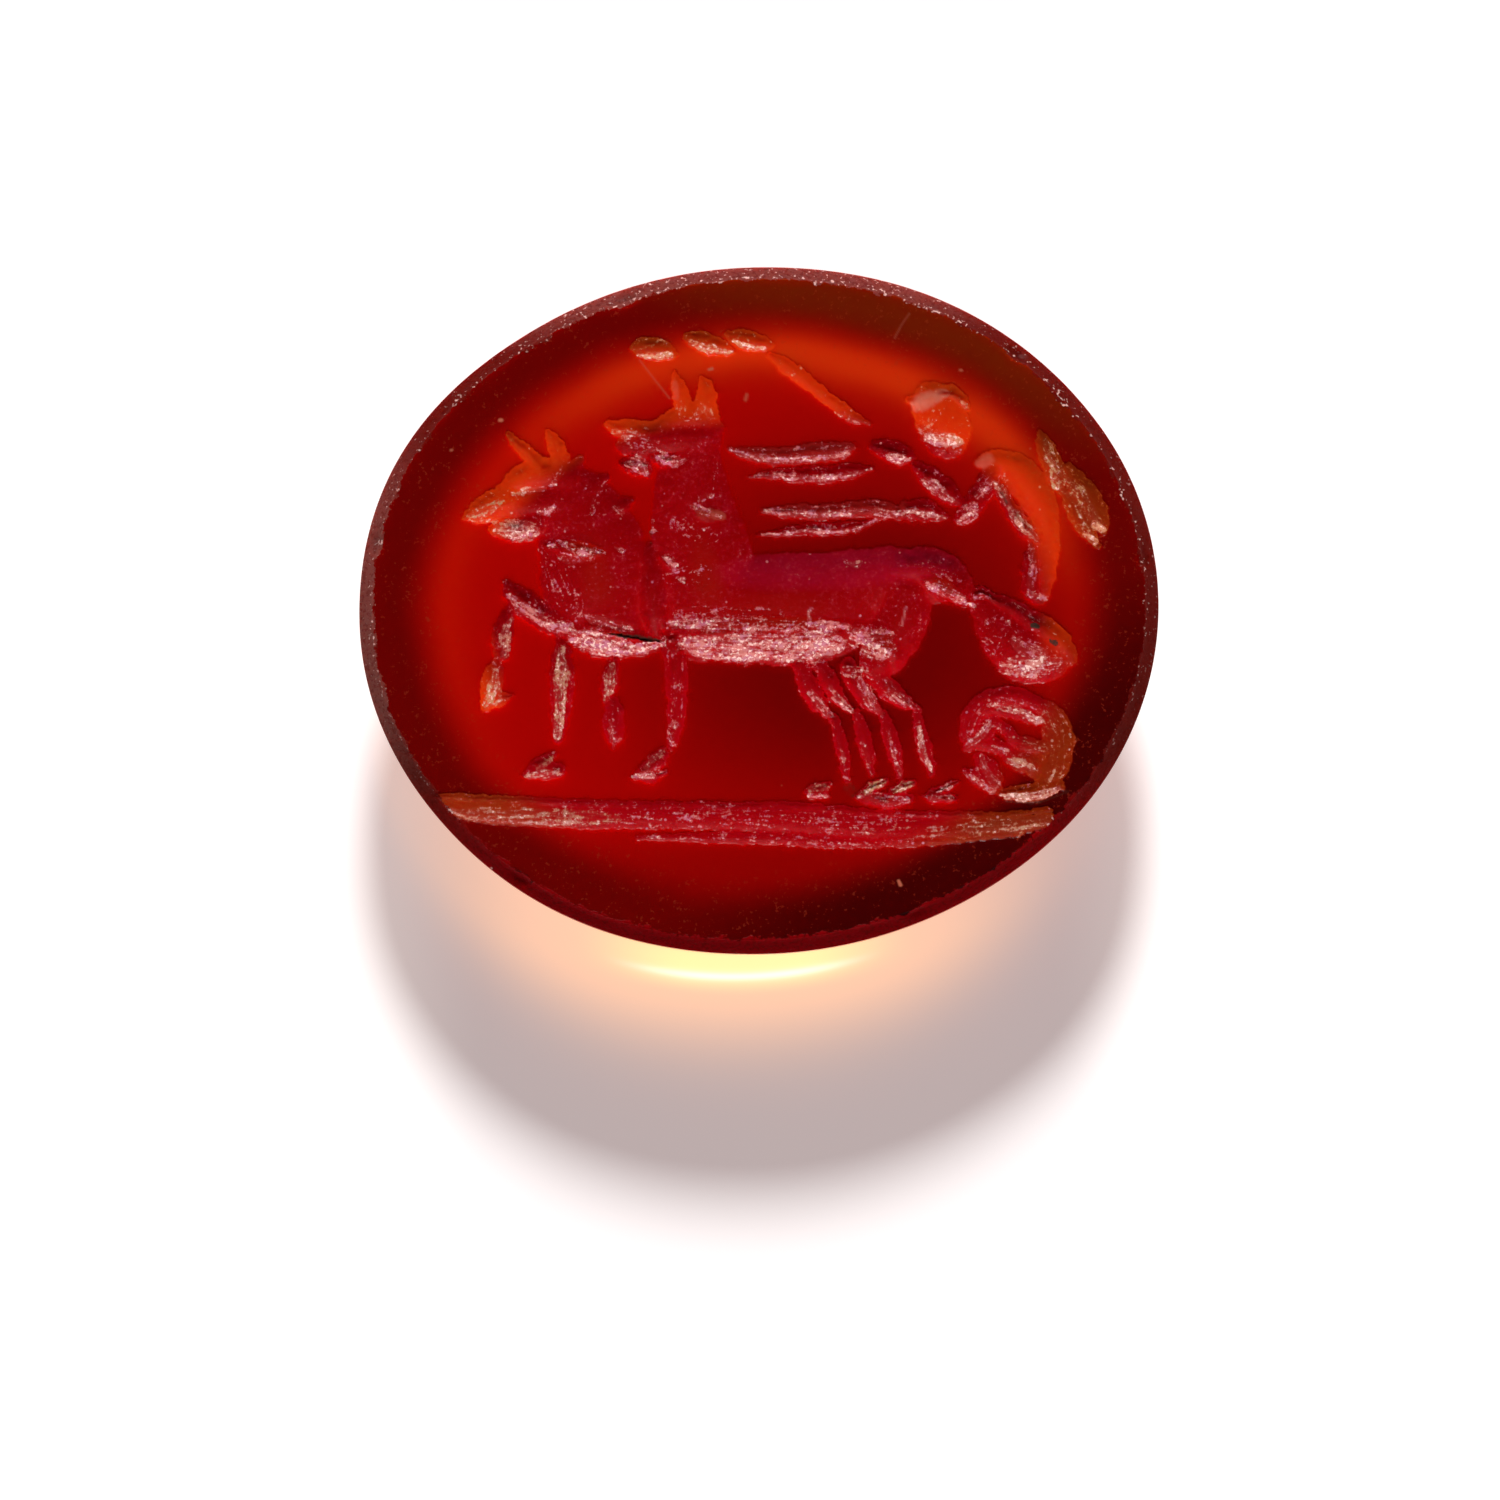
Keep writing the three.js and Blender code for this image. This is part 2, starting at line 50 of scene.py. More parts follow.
class Wire:
    # a socket in a node tree: arithmetic on wires adds Math nodes
    def __init__(self, tree, socket=None):
        self.tree = tree
        self.socket = socket

    def add(self, kind, settings=None, sockets=None, output=0):
        node = self.tree.nodes.new(kind)
        for name, value in (settings or {}).items():
            setattr(node, name, value)
        for name, value in (sockets or {}).items():
            if isinstance(value, Wire):
                self.tree.links.new(value.socket, node.inputs[name])
            else:
                node.inputs[name].default_value = value
        return Wire(self.tree, node.outputs[output] if node.outputs else None)

    def math(self, operation, first, second=0.0):
        return self.add("ShaderNodeMath", {"operation": operation}, {0: first, 1: second})

    def __add__(self, other):
        return self.math("ADD", self, other)

    def __radd__(self, other):
        return self.math("ADD", other, self)

    def __sub__(self, other):
        return self.math("SUBTRACT", self, other)

    def __rsub__(self, other):
        return self.math("SUBTRACT", other, self)

    def __mul__(self, other):
        return self.math("MULTIPLY", self, other)

    def __rmul__(self, other):
        return self.math("MULTIPLY", other, self)

    def __truediv__(self, other):
        return self.math("DIVIDE", self, other)

    def __rtruediv__(self, other):
        return self.math("DIVIDE", other, self)

    def __pow__(self, other):
        return self.math("POWER", self, other)

    def atLeast(self, other):
        return self.math("MAXIMUM", self, other)

    def step(self, low, high):
        # 0 below low, 1 above high, eased between
        settings = {"interpolation_type": "SMOOTHSTEP"}
        sockets = {"Value": self, "From Min": low, "From Max": high}
        return self.add("ShaderNodeMapRange", settings, sockets)

    def hump(self, middle, width):
        # 1 at the middle, falling smoothly to 0 over about two widths
        share = (self - middle) / width
        return 1 / (1 + share * share * share * share + share * share)

    def blend(self, first, second, how="MIX"):
        # first colour where this wire is 0, second where it is 1
        settings = {"data_type": "RGBA", "blend_type": how}
        return self.add("ShaderNodeMix", settings, {0: self, 6: first, 7: second}, 2)

    def noise(self, place, scale, detail=2.0, roughness=0.5):
        sockets = {"Vector": place, "Scale": scale, "Detail": detail, "Roughness": roughness}
        return self.add("ShaderNodeTexNoise", {}, sockets)

    def axis(self, number):
        # a vector's value along one axis: 0 for x, 1 for y, 2 for z
        return self.add("ShaderNodeSeparateXYZ", {}, {0: self}, number)

    def painted(self, layer, output=2):
        # a value laid on the mesh, or its vector where output is 1
        return self.add("ShaderNodeAttribute", {"attribute_name": layer}, output=output)

    def rays(self):
        # 1 where a ray comes from the camera, was mirrored, or went through something
        kinds = ("Is Camera Ray", "Is Glossy Ray", "Is Transmission Ray")
        return [self.add("ShaderNodeLightPath", output=kind) for kind in kinds]


def newMaterial(name):
    material = bpy.data.materials.new(name)
    material.use_nodes = True
    material.node_tree.nodes.clear()
    return material, Wire(material.node_tree)


def rgb(red, green, blue):
    # a colour as a screen shows it, 0 to 255, in the linear values that Blender takes
    linear = []
    for value in (red, green, blue):
        share = value / 255
        linear.append(share / 12.92 if share <= 0.04045 else ((share + 0.055) / 1.055) ** 2.4)
    return (*linear, 1)


# camera, light, floor

view = {
    "turn": math.radians(2.6),          # the stone lies this far anticlockwise in the frame
    "elevation": math.radians(86),
    "frameWidth": 24.39 * mm,           # the square frame, at the height of the face
    "aside": 0.146 * mm,                # the stone's middle is right of the frame's middle
    "above": 2.28 * mm,                 # and above it
    "below": 0.2 * mm,                  # the camera's aim lies this far below the face
    "lens": 250,
    "sensor": 36,
    "clip": (0.01, 10),                 # nearest and farthest that the camera sees, in metres
}

across = Vector((math.cos(view["turn"]), -math.sin(view["turn"]), 0))
ahead = Vector((math.sin(view["turn"]), math.cos(view["turn"]), 0))
towards = Vector((0, 0, 1)) * math.sin(view["elevation"]) - ahead * math.cos(view["elevation"])
upward = towards.cross(across)
stoneMiddle = Vector((0, 0, stoneHigh.z - view["below"]))
aim = stoneMiddle - across * view["aside"] - upward * view["above"]
distance = view["frameWidth"] * view["lens"] / view["sensor"]

bpy.ops.object.select_all(action="DESELECT")
bpy.ops.object.camera_add(location=(0, 0, 0))
camera = bpy.context.object
camera.name = "camera"
camera.data.lens = view["lens"]
camera.data.sensor_width = view["sensor"]
camera.data.clip_start, camera.data.clip_end = view["clip"]
turned = Matrix((across, upward, towards)).transposed().to_4x4()
camera.matrix_world = Matrix.Translation(aim + towards * distance) @ turned
scene.camera = camera

light = {
    "from": (0.066, 0.998),             # compass direction of the key light
    "elevation": math.radians(37),
    "strength": 5.1,
    "spread": math.radians(10.5),
    "distance": 0.3,                    # only where its mark stands, because a sun has no place
    "fill": 0.1,                        # brightness of the sky low down
    "overhead": (0.55, 0.9),            # it dims between these heights, where 1 is straight up
    "overheadShare": 0.9,               # how much of it is missing there
    "paperEdge": (0.0, 0.05),           # mirrored rays below this see far white paper
}

low = math.cos(light["elevation"])
towardsKey = Vector((light["from"][0] * low, light["from"][1] * low, math.sin(light["elevation"])))
bpy.ops.object.light_add(type="SUN", location=towardsKey * light["distance"])
key = bpy.context.object
key.name = "keyLight"
key.data.energy = light["strength"]
key.data.angle = light["spread"]
key.rotation_euler = towardsKey.to_track_quat("Z", "Y").to_euler()

# A faint sky that is darker still overhead, so that the flat face mirrors little of it.
world = bpy.data.worlds.new("studio")
world.use_nodes = True
world.node_tree.nodes.clear()
sky = Wire(world.node_tree)
direction = sky.add("ShaderNodeTexCoord")
height = direction.axis(2)
glow = (1 - height.step(*light["overhead"]) * light["overheadShare"]) * light["fill"]
skyLight = sky.add("ShaderNodeBackground", {}, {"Color": (1, 1, 1, 1), "Strength": glow})
paperWhite = sky.add("ShaderNodeBackground", {}, {"Color": (1, 1, 1, 1), "Strength": 1.0})
fromCamera, mirrored, passed = sky.rays()
farPaper = mirrored.atLeast(passed) * (1 - height.step(*light["paperEdge"]))
white = fromCamera.atLeast(farPaper)
background = sky.add("ShaderNodeMixShader", {}, {0: white, 1: skyLight, 2: paperWhite})
sky.add("ShaderNodeOutputWorld", {}, {"Surface": background})
scene.world = world
scene.view_settings.view_transform = "Standard"

# The painted light on the paper, standing in for light that comes through the stone and for the
# shadow's soft sides, is placed in mm: along the stone's south edge, and out from it, where the edge
# is an oval arc. Pairs are where something starts and where it is complete.
floorLook = {
    "radius": 0.5,
    "below": 0.01 * mm,                 # a hair under the stone's back
    "halfLengthSquared": 42.2,          # of the south edge's oval
    "halfWidth": 5.44,
    "lean": 0.045,
    "glowStart": 0.4,                   # the glow fades from this far out
    "glowFall": 0.85,                   # and the faster the larger this is
    "glowMiddle": -0.65,
    "glowHalfLength": 4.75,
    "underStone": (-2.3, -0.6),         # no light is painted farther in than this
    "warmStart": (-0.7, 0.15),
    "warmEnd": (0.25, 0.7),
    "warmMiddle": -0.5,
    "warmTips": (0.8, 2.9),
    "paintedHotLine": (0.36, 0.07),            # middle and width
    "hotEnd": (0.5, 0.9),
    "hotTips": (0.6, 2.4),
    "sidesMiddle": -0.1,
    "sides": (4.6, 6.9),
    "colour": (0.62, 0.62, 0.62, 1),
    "lift": (0.456, 0.383, 0.378, 1),   # what a camera sees of the paper beyond the light on it
    "glow": (0.56, 0.23, 0.02, 1),      # painted light that has come through the stone
    "warm": (0.3, 0.34, 0.02, 1),       # painted yellow light close to it
    "hot": (0.3, 0.34, 0.5, 1),         # a thin painted white line of light
    "side": (0.12, 0.11, 0.095, 1),     # painted light on the shadow's soft sides
}

bpy.ops.object.select_all(action="DESELECT")
bpy.ops.mesh.primitive_circle_add(
    vertices=64, radius=floorLook["radius"], fill_type="NGON", location=(0, 0, -floorLook["below"]))
floor = bpy.context.object
floor.name = "floor"
bpy.ops.object.transform_apply(location=True, rotation=True, scale=True)
floorMaterial, wire = newMaterial("paperFloor")
diffuse = wire.add("ShaderNodeBsdfDiffuse", {}, {"Color": floorLook["colour"]})
spot = wire.add("ShaderNodeTexCoord", output=3)
spotX = spot.axis(0) / mm
spotY = spot.axis(1) / mm
southEdge = (1 - spotX * spotX / floorLook["halfLengthSquared"]).atLeast(0) ** 0.5
southEdge = southEdge * -floorLook["halfWidth"] + spotX * floorLook["lean"]
away = southEdge - spotY
fading = (away - floorLook["glowStart"]).atLeast(0)
nearMiddle = (spotX - floorLook["glowMiddle"]) / floorLook["glowHalfLength"]
nearMiddle = wire.math("EXPONENT", nearMiddle * nearMiddle * nearMiddle * nearMiddle * -1)
nearMiddle = nearMiddle * away.step(*floorLook["underStone"])
through = wire.math("EXPONENT", fading * fading * -floorLook["glowFall"]) * nearMiddle
aside = ((spotX - floorLook["warmMiddle"]) * (spotX - floorLook["warmMiddle"])) ** 0.5
paintedWarmLight = away.step(*floorLook["warmStart"]) * (1 - away.step(*floorLook["warmEnd"]))
paintedWarmLight = paintedWarmLight * (1 - aside.step(*floorLook["warmTips"])) * nearMiddle
paintedHotLine = away.hump(*floorLook["paintedHotLine"]) * (1 - away.step(*floorLook["hotEnd"]))
paintedHotLine = paintedHotLine * (1 - aside.step(*floorLook["hotTips"]))
sides = ((spotX - floorLook["sidesMiddle"]) * (spotX - floorLook["sidesMiddle"])) ** 0.5
sides = sides.step(*floorLook["sides"])
lit = floorLook["lift"]
# painted light on the paper: a glow, warm yellow and a hot white line where light comes through the stone,
# and lighter soft sides to the shadow
for share, name in ((through, "glow"), (paintedWarmLight, "warm"), (paintedHotLine, "hot"), (sides, "side")):
    lit = share.blend(lit, floorLook[name], "ADD")
fromCamera, mirrored, passed = wire.rays()
directly = fromCamera.atLeast(mirrored).atLeast(passed)
paper = wire.add("ShaderNodeEmission", {}, {"Color": lit, "Strength": directly})
both = wire.add("ShaderNodeAddShader", {}, {0: diffuse, 1: paper})
wire.add("ShaderNodeOutputMaterial", {}, {"Surface": both})
floor.data.materials.append(floorMaterial)
print("camera, light and floor ready")

# the engraving

# Each cut: greatest depth in mm, of which the tool's depthShare is carved, how frosted its walls
# are, and its run. A place in a run is a share of the half length, a share of the half width, and
# the cut's half width there as a share of the half length.
frontHorse = {
    "neck and chest": (0.44, 0.12, [
        (-0.47, 0.37, 0.08), (-0.435, 0.28, 0.116), (-0.408, 0.18, 0.138), (-0.4, 0.08, 0.143),
        (-0.39, 0.02, 0.122)]),
    "breast": (0.4, 0.1, [
        (-0.266, 0.2, 0.012), (-0.265, 0.14, 0.035), (-0.265, 0.07, 0.05), (-0.262, 0, 0.045),
        (-0.258, -0.05, 0.02)]),
    "belly": (0.2, 0.8, [
        (-0.48, -0.05, 0.014), (-0.43, -0.055, 0.046), (-0.38, -0.06, 0.056),
        (-0.33, -0.075, 0.045), (-0.28, -0.085, 0.029), (-0.238, -0.08, 0.01)]),
    "muzzle": (0.3, 0.9, [
        (-0.728, 0.302, 0.006), (-0.69, 0.318, 0.031), (-0.65, 0.332, 0.042), (-0.605, 0.348, 0.043)]),
    "jaw": (0.3, 0.9, [
        (-0.662, 0.27, 0.01), (-0.625, 0.267, 0.031), (-0.585, 0.266, 0.037), (-0.545, 0.28, 0.036)]),
    "cheek": (0.3, 0.4, [
        (-0.61, 0.33, 0.035), (-0.555, 0.335, 0.05), (-0.5, 0.335, 0.055), (-0.46, 0.33, 0.05)]),
    "brow": (0.3, 0.15, [
        (-0.635, 0.374, 0.014), (-0.585, 0.402, 0.038), (-0.53, 0.418, 0.048), (-0.475, 0.406, 0.05)]),
    "ear": (0.24, 0.08, [
        (-0.606, 0.543, 0.007), (-0.585, 0.513, 0.016), (-0.558, 0.478, 0.02), (-0.53, 0.44, 0.028)]),
    "far ear": (0.24, 0.08, [
        (-0.508, 0.543, 0.008), (-0.494, 0.512, 0.021), (-0.484, 0.475, 0.026), (-0.488, 0.425, 0.03)]),
    "mane": (0.24, 0.3, [(-0.428, 0.464, 0.009), (-0.442, 0.435, 0.02), (-0.458, 0.39, 0.03)]),
    "mane middle": (0.24, 0.3, [(-0.366, 0.402, 0.01), (-0.392, 0.38, 0.024), (-0.425, 0.35, 0.035)]),
    "mane low": (0.24, 0.3, [(-0.305, 0.335, 0.01), (-0.335, 0.315, 0.025), (-0.375, 0.29, 0.035)]),
    "raised forearm": (0.28, 0.6, [
        (-0.628, 0.105, 0.012), (-0.6, 0.062, 0.032), (-0.558, 0.02, 0.037), (-0.51, -0.012, 0.035),
        (-0.455, -0.03, 0.03)]),
    "raised shin": (0.24, 0.7, [
        (-0.618, 0.048, 0.012), (-0.632, 0, 0.023), (-0.644, -0.05, 0.028), (-0.648, -0.1, 0.02)]),
    "raised pastern": (0.24, 0.7, [
        (-0.656, -0.108, 0.012), (-0.668, -0.15, 0.023), (-0.678, -0.2, 0.029), (-0.692, -0.248, 0.016)]),
    "raised hoof": (0.2, 0.7, [(-0.695, -0.25, 0.01), (-0.662, -0.228, 0.02), (-0.626, -0.218, 0.006)]),
    "first leg": (0.28, 0.85, [
        (-0.498, -0.072, 0.016), (-0.498, -0.13, 0.03), (-0.5, -0.2, 0.032), (-0.508, -0.28, 0.025),
        (-0.516, -0.352, 0.014)]),
    "second leg": (0.24, 0.9, [
        (-0.366, -0.125, 0.01), (-0.375, -0.165, 0.021), (-0.382, -0.205, 0.021), (-0.398, -0.247, 0.006)]),
    "second shin": (0.24, 0.3, [
        (-0.374, -0.25, 0.014), (-0.374, -0.285, 0.026), (-0.375, -0.335, 0.026), (-0.379, -0.387, 0.006)]),
    "third leg": (0.26, 0.3, [
        (-0.222, -0.08, 0.032), (-0.215, -0.16, 0.029), (-0.214, -0.24, 0.028), (-0.222, -0.32, 0.023),
        (-0.236, -0.39, 0.012)]),
    "hoof": (0.22, 0.8, [
        (-0.606, -0.452, 0.006), (-0.575, -0.44, 0.022), (-0.546, -0.438, 0.027), (-0.517, -0.443, 0.018)]),
    "fetlock": (0.2, 0.5, [(-0.575, -0.435, 0.012), (-0.552, -0.418, 0.022), (-0.528, -0.395, 0.008)]),
    "second hoof": (0.22, 0.8, [
        (-0.33, -0.472, 0.006), (-0.305, -0.458, 0.02), (-0.28, -0.438, 0.024), (-0.262, -0.415, 0.02),
        (-0.25, -0.393, 0.007)]),
    "second hoof sole": (0.2, 0.8, [
        (-0.32, -0.474, 0.008), (-0.29, -0.472, 0.016), (-0.252, -0.462, 0.008)]),
}
rearHorse = {
    "neck and shoulder": (0.44, 0.1, [
        (-0.115, 0.53, 0.05), (-0.145, 0.45, 0.07), (-0.155, 0.36, 0.094), (-0.15, 0.27, 0.11),
        (-0.138, 0.18, 0.126), (-0.128, 0.08, 0.132), (-0.126, 0.01, 0.12)]),
    "barrel": (0.42, 0.05, [
        (-0.13, 0.01, 0.115), (-0.07, 0.005, 0.135), (0.03, 0.0, 0.142), (0.12, -0.005, 0.142),
        (0.19, 0.008, 0.13), (0.26, 0.045, 0.105), (0.35, 0.06, 0.09), (0.42, 0.05, 0.06)]),
    "belly end": (0.1, 0.8, [(-0.235, -0.055, 0.01), (-0.19, -0.075, 0.04), (-0.15, -0.09, 0.05)]),
    "croup": (0.4, 0.1, [
        (0.36, 0.09, 0.05), (0.42, 0.092, 0.06), (0.47, 0.065, 0.058), (0.502, 0.03, 0.038),
        (0.53, -0.008, 0.01)]),
    "haunch": (0.4, 0.25, [
        (0.37, 0.03, 0.07), (0.352, -0.045, 0.075), (0.322, -0.11, 0.07), (0.29, -0.175, 0.05)]),
    "nose": (0.28, 0.3, [
        (-0.36, 0.557, 0.008), (-0.33, 0.545, 0.024), (-0.285, 0.53, 0.032), (-0.235, 0.52, 0.04)]),
    "head": (0.3, 0.3, [
        (-0.315, 0.495, 0.026), (-0.265, 0.495, 0.046), (-0.2, 0.505, 0.056), (-0.135, 0.505, 0.056)]),
    "forehead": (0.28, 0.1, [
        (-0.245, 0.54, 0.014), (-0.2, 0.552, 0.032), (-0.15, 0.56, 0.042), (-0.11, 0.56, 0.038)]),
    "jaw": (0.28, 1, [
        (-0.325, 0.441, 0.008), (-0.295, 0.437, 0.025), (-0.268, 0.428, 0.02), (-0.262, 0.4, 0.006)]),
    "cheek": (0.34, 1, [(-0.25, 0.456, 0.012), (-0.212, 0.448, 0.022), (-0.164, 0.448, 0.008)]),
    "ear": (0.24, 0.1, [
        (-0.184, 0.705, 0.006), (-0.178, 0.665, 0.018), (-0.168, 0.62, 0.024), (-0.158, 0.57, 0.027)]),
    "far ear": (0.24, 0.1, [
        (-0.118, 0.68, 0.008), (-0.109, 0.65, 0.024), (-0.108, 0.612, 0.031), (-0.116, 0.565, 0.032)]),
    "hock": (0.28, 0.6, [
        (0.095, -0.165, 0.02), (0.112, -0.225, 0.029), (0.136, -0.28, 0.024), (0.168, -0.328, 0.006)]),
    "second hock": (0.26, 0.7, [
        (0.148, -0.17, 0.02), (0.168, -0.225, 0.023), (0.192, -0.275, 0.019), (0.224, -0.314, 0.006)]),
    "third hock": (0.26, 0.6, [
        (0.215, -0.175, 0.022), (0.238, -0.235, 0.028), (0.262, -0.285, 0.021), (0.298, -0.328, 0.006)]),
    "fourth hock": (0.28, 1, [
        (0.285, -0.2, 0.024), (0.312, -0.248, 0.029), (0.346, -0.284, 0.022), (0.39, -0.314, 0.006)]),
    "shin": (0.2, 0.5, [
        (0.174, -0.325, 0.012), (0.184, -0.38, 0.018), (0.194, -0.445, 0.017), (0.201, -0.508, 0.009)]),
    "second shin": (0.2, 0.5, [
        (0.232, -0.315, 0.012), (0.245, -0.38, 0.02), (0.256, -0.44, 0.018), (0.262, -0.494, 0.009)]),
    "third shin": (0.2, 0.5, [
        (0.298, -0.325, 0.012), (0.31, -0.38, 0.02), (0.322, -0.44, 0.018), (0.331, -0.5, 0.009)]),
    "fourth shin": (0.2, 0.6, [
        (0.38, -0.325, 0.012), (0.388, -0.38, 0.019), (0.4, -0.44, 0.018), (0.412, -0.5, 0.009)]),
    "hoof": (0.18, 0.6, [(0.098, -0.536, 0.008), (0.125, -0.534, 0.02), (0.156, -0.516, 0.008)]),
    "hoof sole": (0.14, 0.7, [(0.105, -0.55, 0.006), (0.13, -0.545, 0.012), (0.15, -0.555, 0.005)]),
    "second hoof": (0.2, 0.8, [
        (0.222, -0.558, 0.008), (0.262, -0.567, 0.02), (0.312, -0.574, 0.021), (0.358, -0.568, 0.01)]),
    "second pastern": (0.18, 0.6, [(0.238, -0.55, 0.01), (0.262, -0.53, 0.016), (0.296, -0.514, 0.009)]),
    "third pastern": (0.18, 0.6, [(0.312, -0.55, 0.012), (0.338, -0.536, 0.016), (0.364, -0.524, 0.009)]),
    "fourth hoof": (0.2, 0.7, [(0.388, -0.565, 0.006), (0.422, -0.57, 0.018), (0.466, -0.576, 0.009)]),
    "fourth pastern": (0.16, 0.6, [(0.418, -0.555, 0.012), (0.446, -0.542, 0.012), (0.476, -0.528, 0.005)]),
    "tail": (0.34, 0.7, [
        (0.54, 0, 0.02), (0.575, -0.055, 0.046), (0.612, -0.112, 0.068), (0.658, -0.16, 0.078),
        (0.71, -0.184, 0.058), (0.77, -0.18, 0.022)]),
    "tail top": (0.28, 0.2, [
        (0.55, 0.015, 0.012), (0.61, -0.015, 0.02), (0.665, -0.06, 0.03), (0.718, -0.105, 0.034),
        (0.757, -0.15, 0.028), (0.775, -0.19, 0.01)]),
    "tail root": (0.2, 0.7, [
        (0.52, -0.01, 0.006), (0.55, 0.02, 0.012), (0.58, 0.01, 0.012), (0.60, -0.01, 0.005)]),
}
driver = {
    "head": (0.34, 0.5, [
        (0.436, 0.6, 0.028), (0.46, 0.572, 0.058), (0.478, 0.524, 0.07), (0.49, 0.482, 0.06),
        (0.498, 0.452, 0.028)]),
    "cap": (0.24, 0.3, [
        (0.4, 0.588, 0.01), (0.432, 0.588, 0.024), (0.472, 0.6, 0.024), (0.514, 0.597, 0.024),
        (0.54, 0.56, 0.012)]),
    "whip hand": (0.26, 0.8, [
        (0.308, 0.456, 0.014), (0.338, 0.446, 0.027), (0.374, 0.43, 0.027), (0.402, 0.424, 0.01)]),
    "forearm": (0.26, 0.8, [
        (0.402, 0.402, 0.01), (0.432, 0.37, 0.025), (0.466, 0.334, 0.031), (0.496, 0.3, 0.024),
        (0.518, 0.276, 0.01)]),
    "upper arm": (0.26, 0.7, [
        (0.604, 0.38, 0.022), (0.582, 0.33, 0.028), (0.552, 0.285, 0.027), (0.53, 0.252, 0.026),
        (0.504, 0.232, 0.01)]),
    "back": (0.28, 0.03, [
        (0.572, 0.4, 0.018), (0.618, 0.396, 0.034), (0.662, 0.364, 0.046), (0.697, 0.308, 0.05),
        (0.722, 0.24, 0.04), (0.73, 0.16, 0.03), (0.725, 0.08, 0.026), (0.712, 0, 0.014)]),
    "front": (0.3, 0.9, [
        (0.604, 0.348, 0.012), (0.622, 0.3, 0.017), (0.646, 0.25, 0.02), (0.672, 0.205, 0.024),
        (0.702, 0.162, 0.014)]),
    "hip": (0.3, 0.6, [
        (0.692, 0.158, 0.012), (0.685, 0.1, 0.022), (0.681, 0.04, 0.025), (0.686, 0.006, 0.02),
        (0.706, -0.016, 0.008)]),
    "wing": (0.22, 0.6, [
        (0.72, 0.478, 0.008), (0.736, 0.43, 0.025), (0.75, 0.38, 0.029), (0.762, 0.335, 0.022),
        (0.772, 0.302, 0.01)]),
    "wing middle": (0.22, 0.5, [
        (0.788, 0.372, 0.012), (0.808, 0.325, 0.031), (0.835, 0.275, 0.037), (0.858, 0.222, 0.029),
        (0.872, 0.178, 0.009)]),
    "wing low": (0.2, 0.5, [
        (0.782, 0.3, 0.015), (0.8, 0.25, 0.027), (0.824, 0.2, 0.026), (0.852, 0.14, 0.009)]),
}
lines = {
    "top rein": (0.17, 0.6, [
        (-0.058, 0.468, 0.007), (0, 0.45, 0.018), (0.07, 0.441, 0.024), (0.15, 0.447, 0.026),
        (0.215, 0.45, 0.025), (0.252, 0.455, 0.01)]),
    "second rein": (0.16, 0.6, [
        (-0.012, 0.385, 0.006), (0.05, 0.39, 0.013), (0.11, 0.385, 0.02), (0.18, 0.383, 0.023),
        (0.25, 0.39, 0.019), (0.3, 0.395, 0.006)]),
    "third rein": (0.17, 0.7, [
        (0.02, 0.286, 0.006), (0.08, 0.28, 0.018), (0.16, 0.274, 0.02), (0.24, 0.276, 0.02),
        (0.31, 0.274, 0.024), (0.37, 0.258, 0.014)]),
    "low rein": (0.14, 0.7, [
        (0.008, 0.215, 0.005), (0.07, 0.219, 0.011), (0.13, 0.226, 0.017), (0.19, 0.223, 0.018),
        (0.25, 0.228, 0.013), (0.302, 0.243, 0.005)]),
    "rein hand": (0.2, 0.8, [
        (0.35, 0.262, 0.01), (0.39, 0.268, 0.026), (0.432, 0.262, 0.028), (0.48, 0.243, 0.009)]),
    "whip": (0.15, 0.1, [
        (0.058, 0.738, 0.01), (0.1, 0.7, 0.021), (0.15, 0.65, 0.02), (0.2, 0.598, 0.018),
        (0.245, 0.555, 0.018), (0.298, 0.524, 0.005)]),
    "left mark": (0.18, 0.5, [
        (-0.286, 0.775, 0.01), (-0.25, 0.776, 0.029), (-0.212, 0.766, 0.026), (-0.178, 0.754, 0.008)]),
    "middle mark": (0.18, 0.5, [
        (-0.152, 0.802, 0.012), (-0.12, 0.79, 0.024), (-0.08, 0.77, 0.025), (-0.034, 0.755, 0.008)]),
    "right mark": (0.18, 0.5, [
        (-0.042, 0.802, 0.014), (-0.01, 0.787, 0.026), (0.028, 0.775, 0.024), (0.062, 0.768, 0.008)]),
    "ground": (0.13, 0.8, [
        (-0.81, -0.53, 0.02), (-0.72, -0.549, 0.032), (-0.52, -0.575, 0.032), (-0.3, -0.588, 0.034),
        (-0.07, -0.602, 0.036), (0.15, -0.632, 0.036), (0.33, -0.662, 0.036), (0.5, -0.667, 0.034),
        (0.6, -0.664, 0.032), (0.7, -0.65, 0.02)]),
    "ground top": (0.1, 0.7, [
        (-0.82, -0.505, 0.008), (-0.7, -0.518, 0.014), (-0.45, -0.545, 0.012), (-0.2, -0.562, 0.012),
        (0.05, -0.58, 0.014), (0.3, -0.612, 0.012), (0.56, -0.632, 0.012), (0.705, -0.622, 0.008)]),
    "ground low": (0.1, 0.7, [
        (-0.33, -0.648, 0.006), (-0.15, -0.657, 0.015), (0.05, -0.672, 0.018), (0.2, -0.69, 0.016),
        (0.38, -0.698, 0.012), (0.52, -0.697, 0.006)]),
}
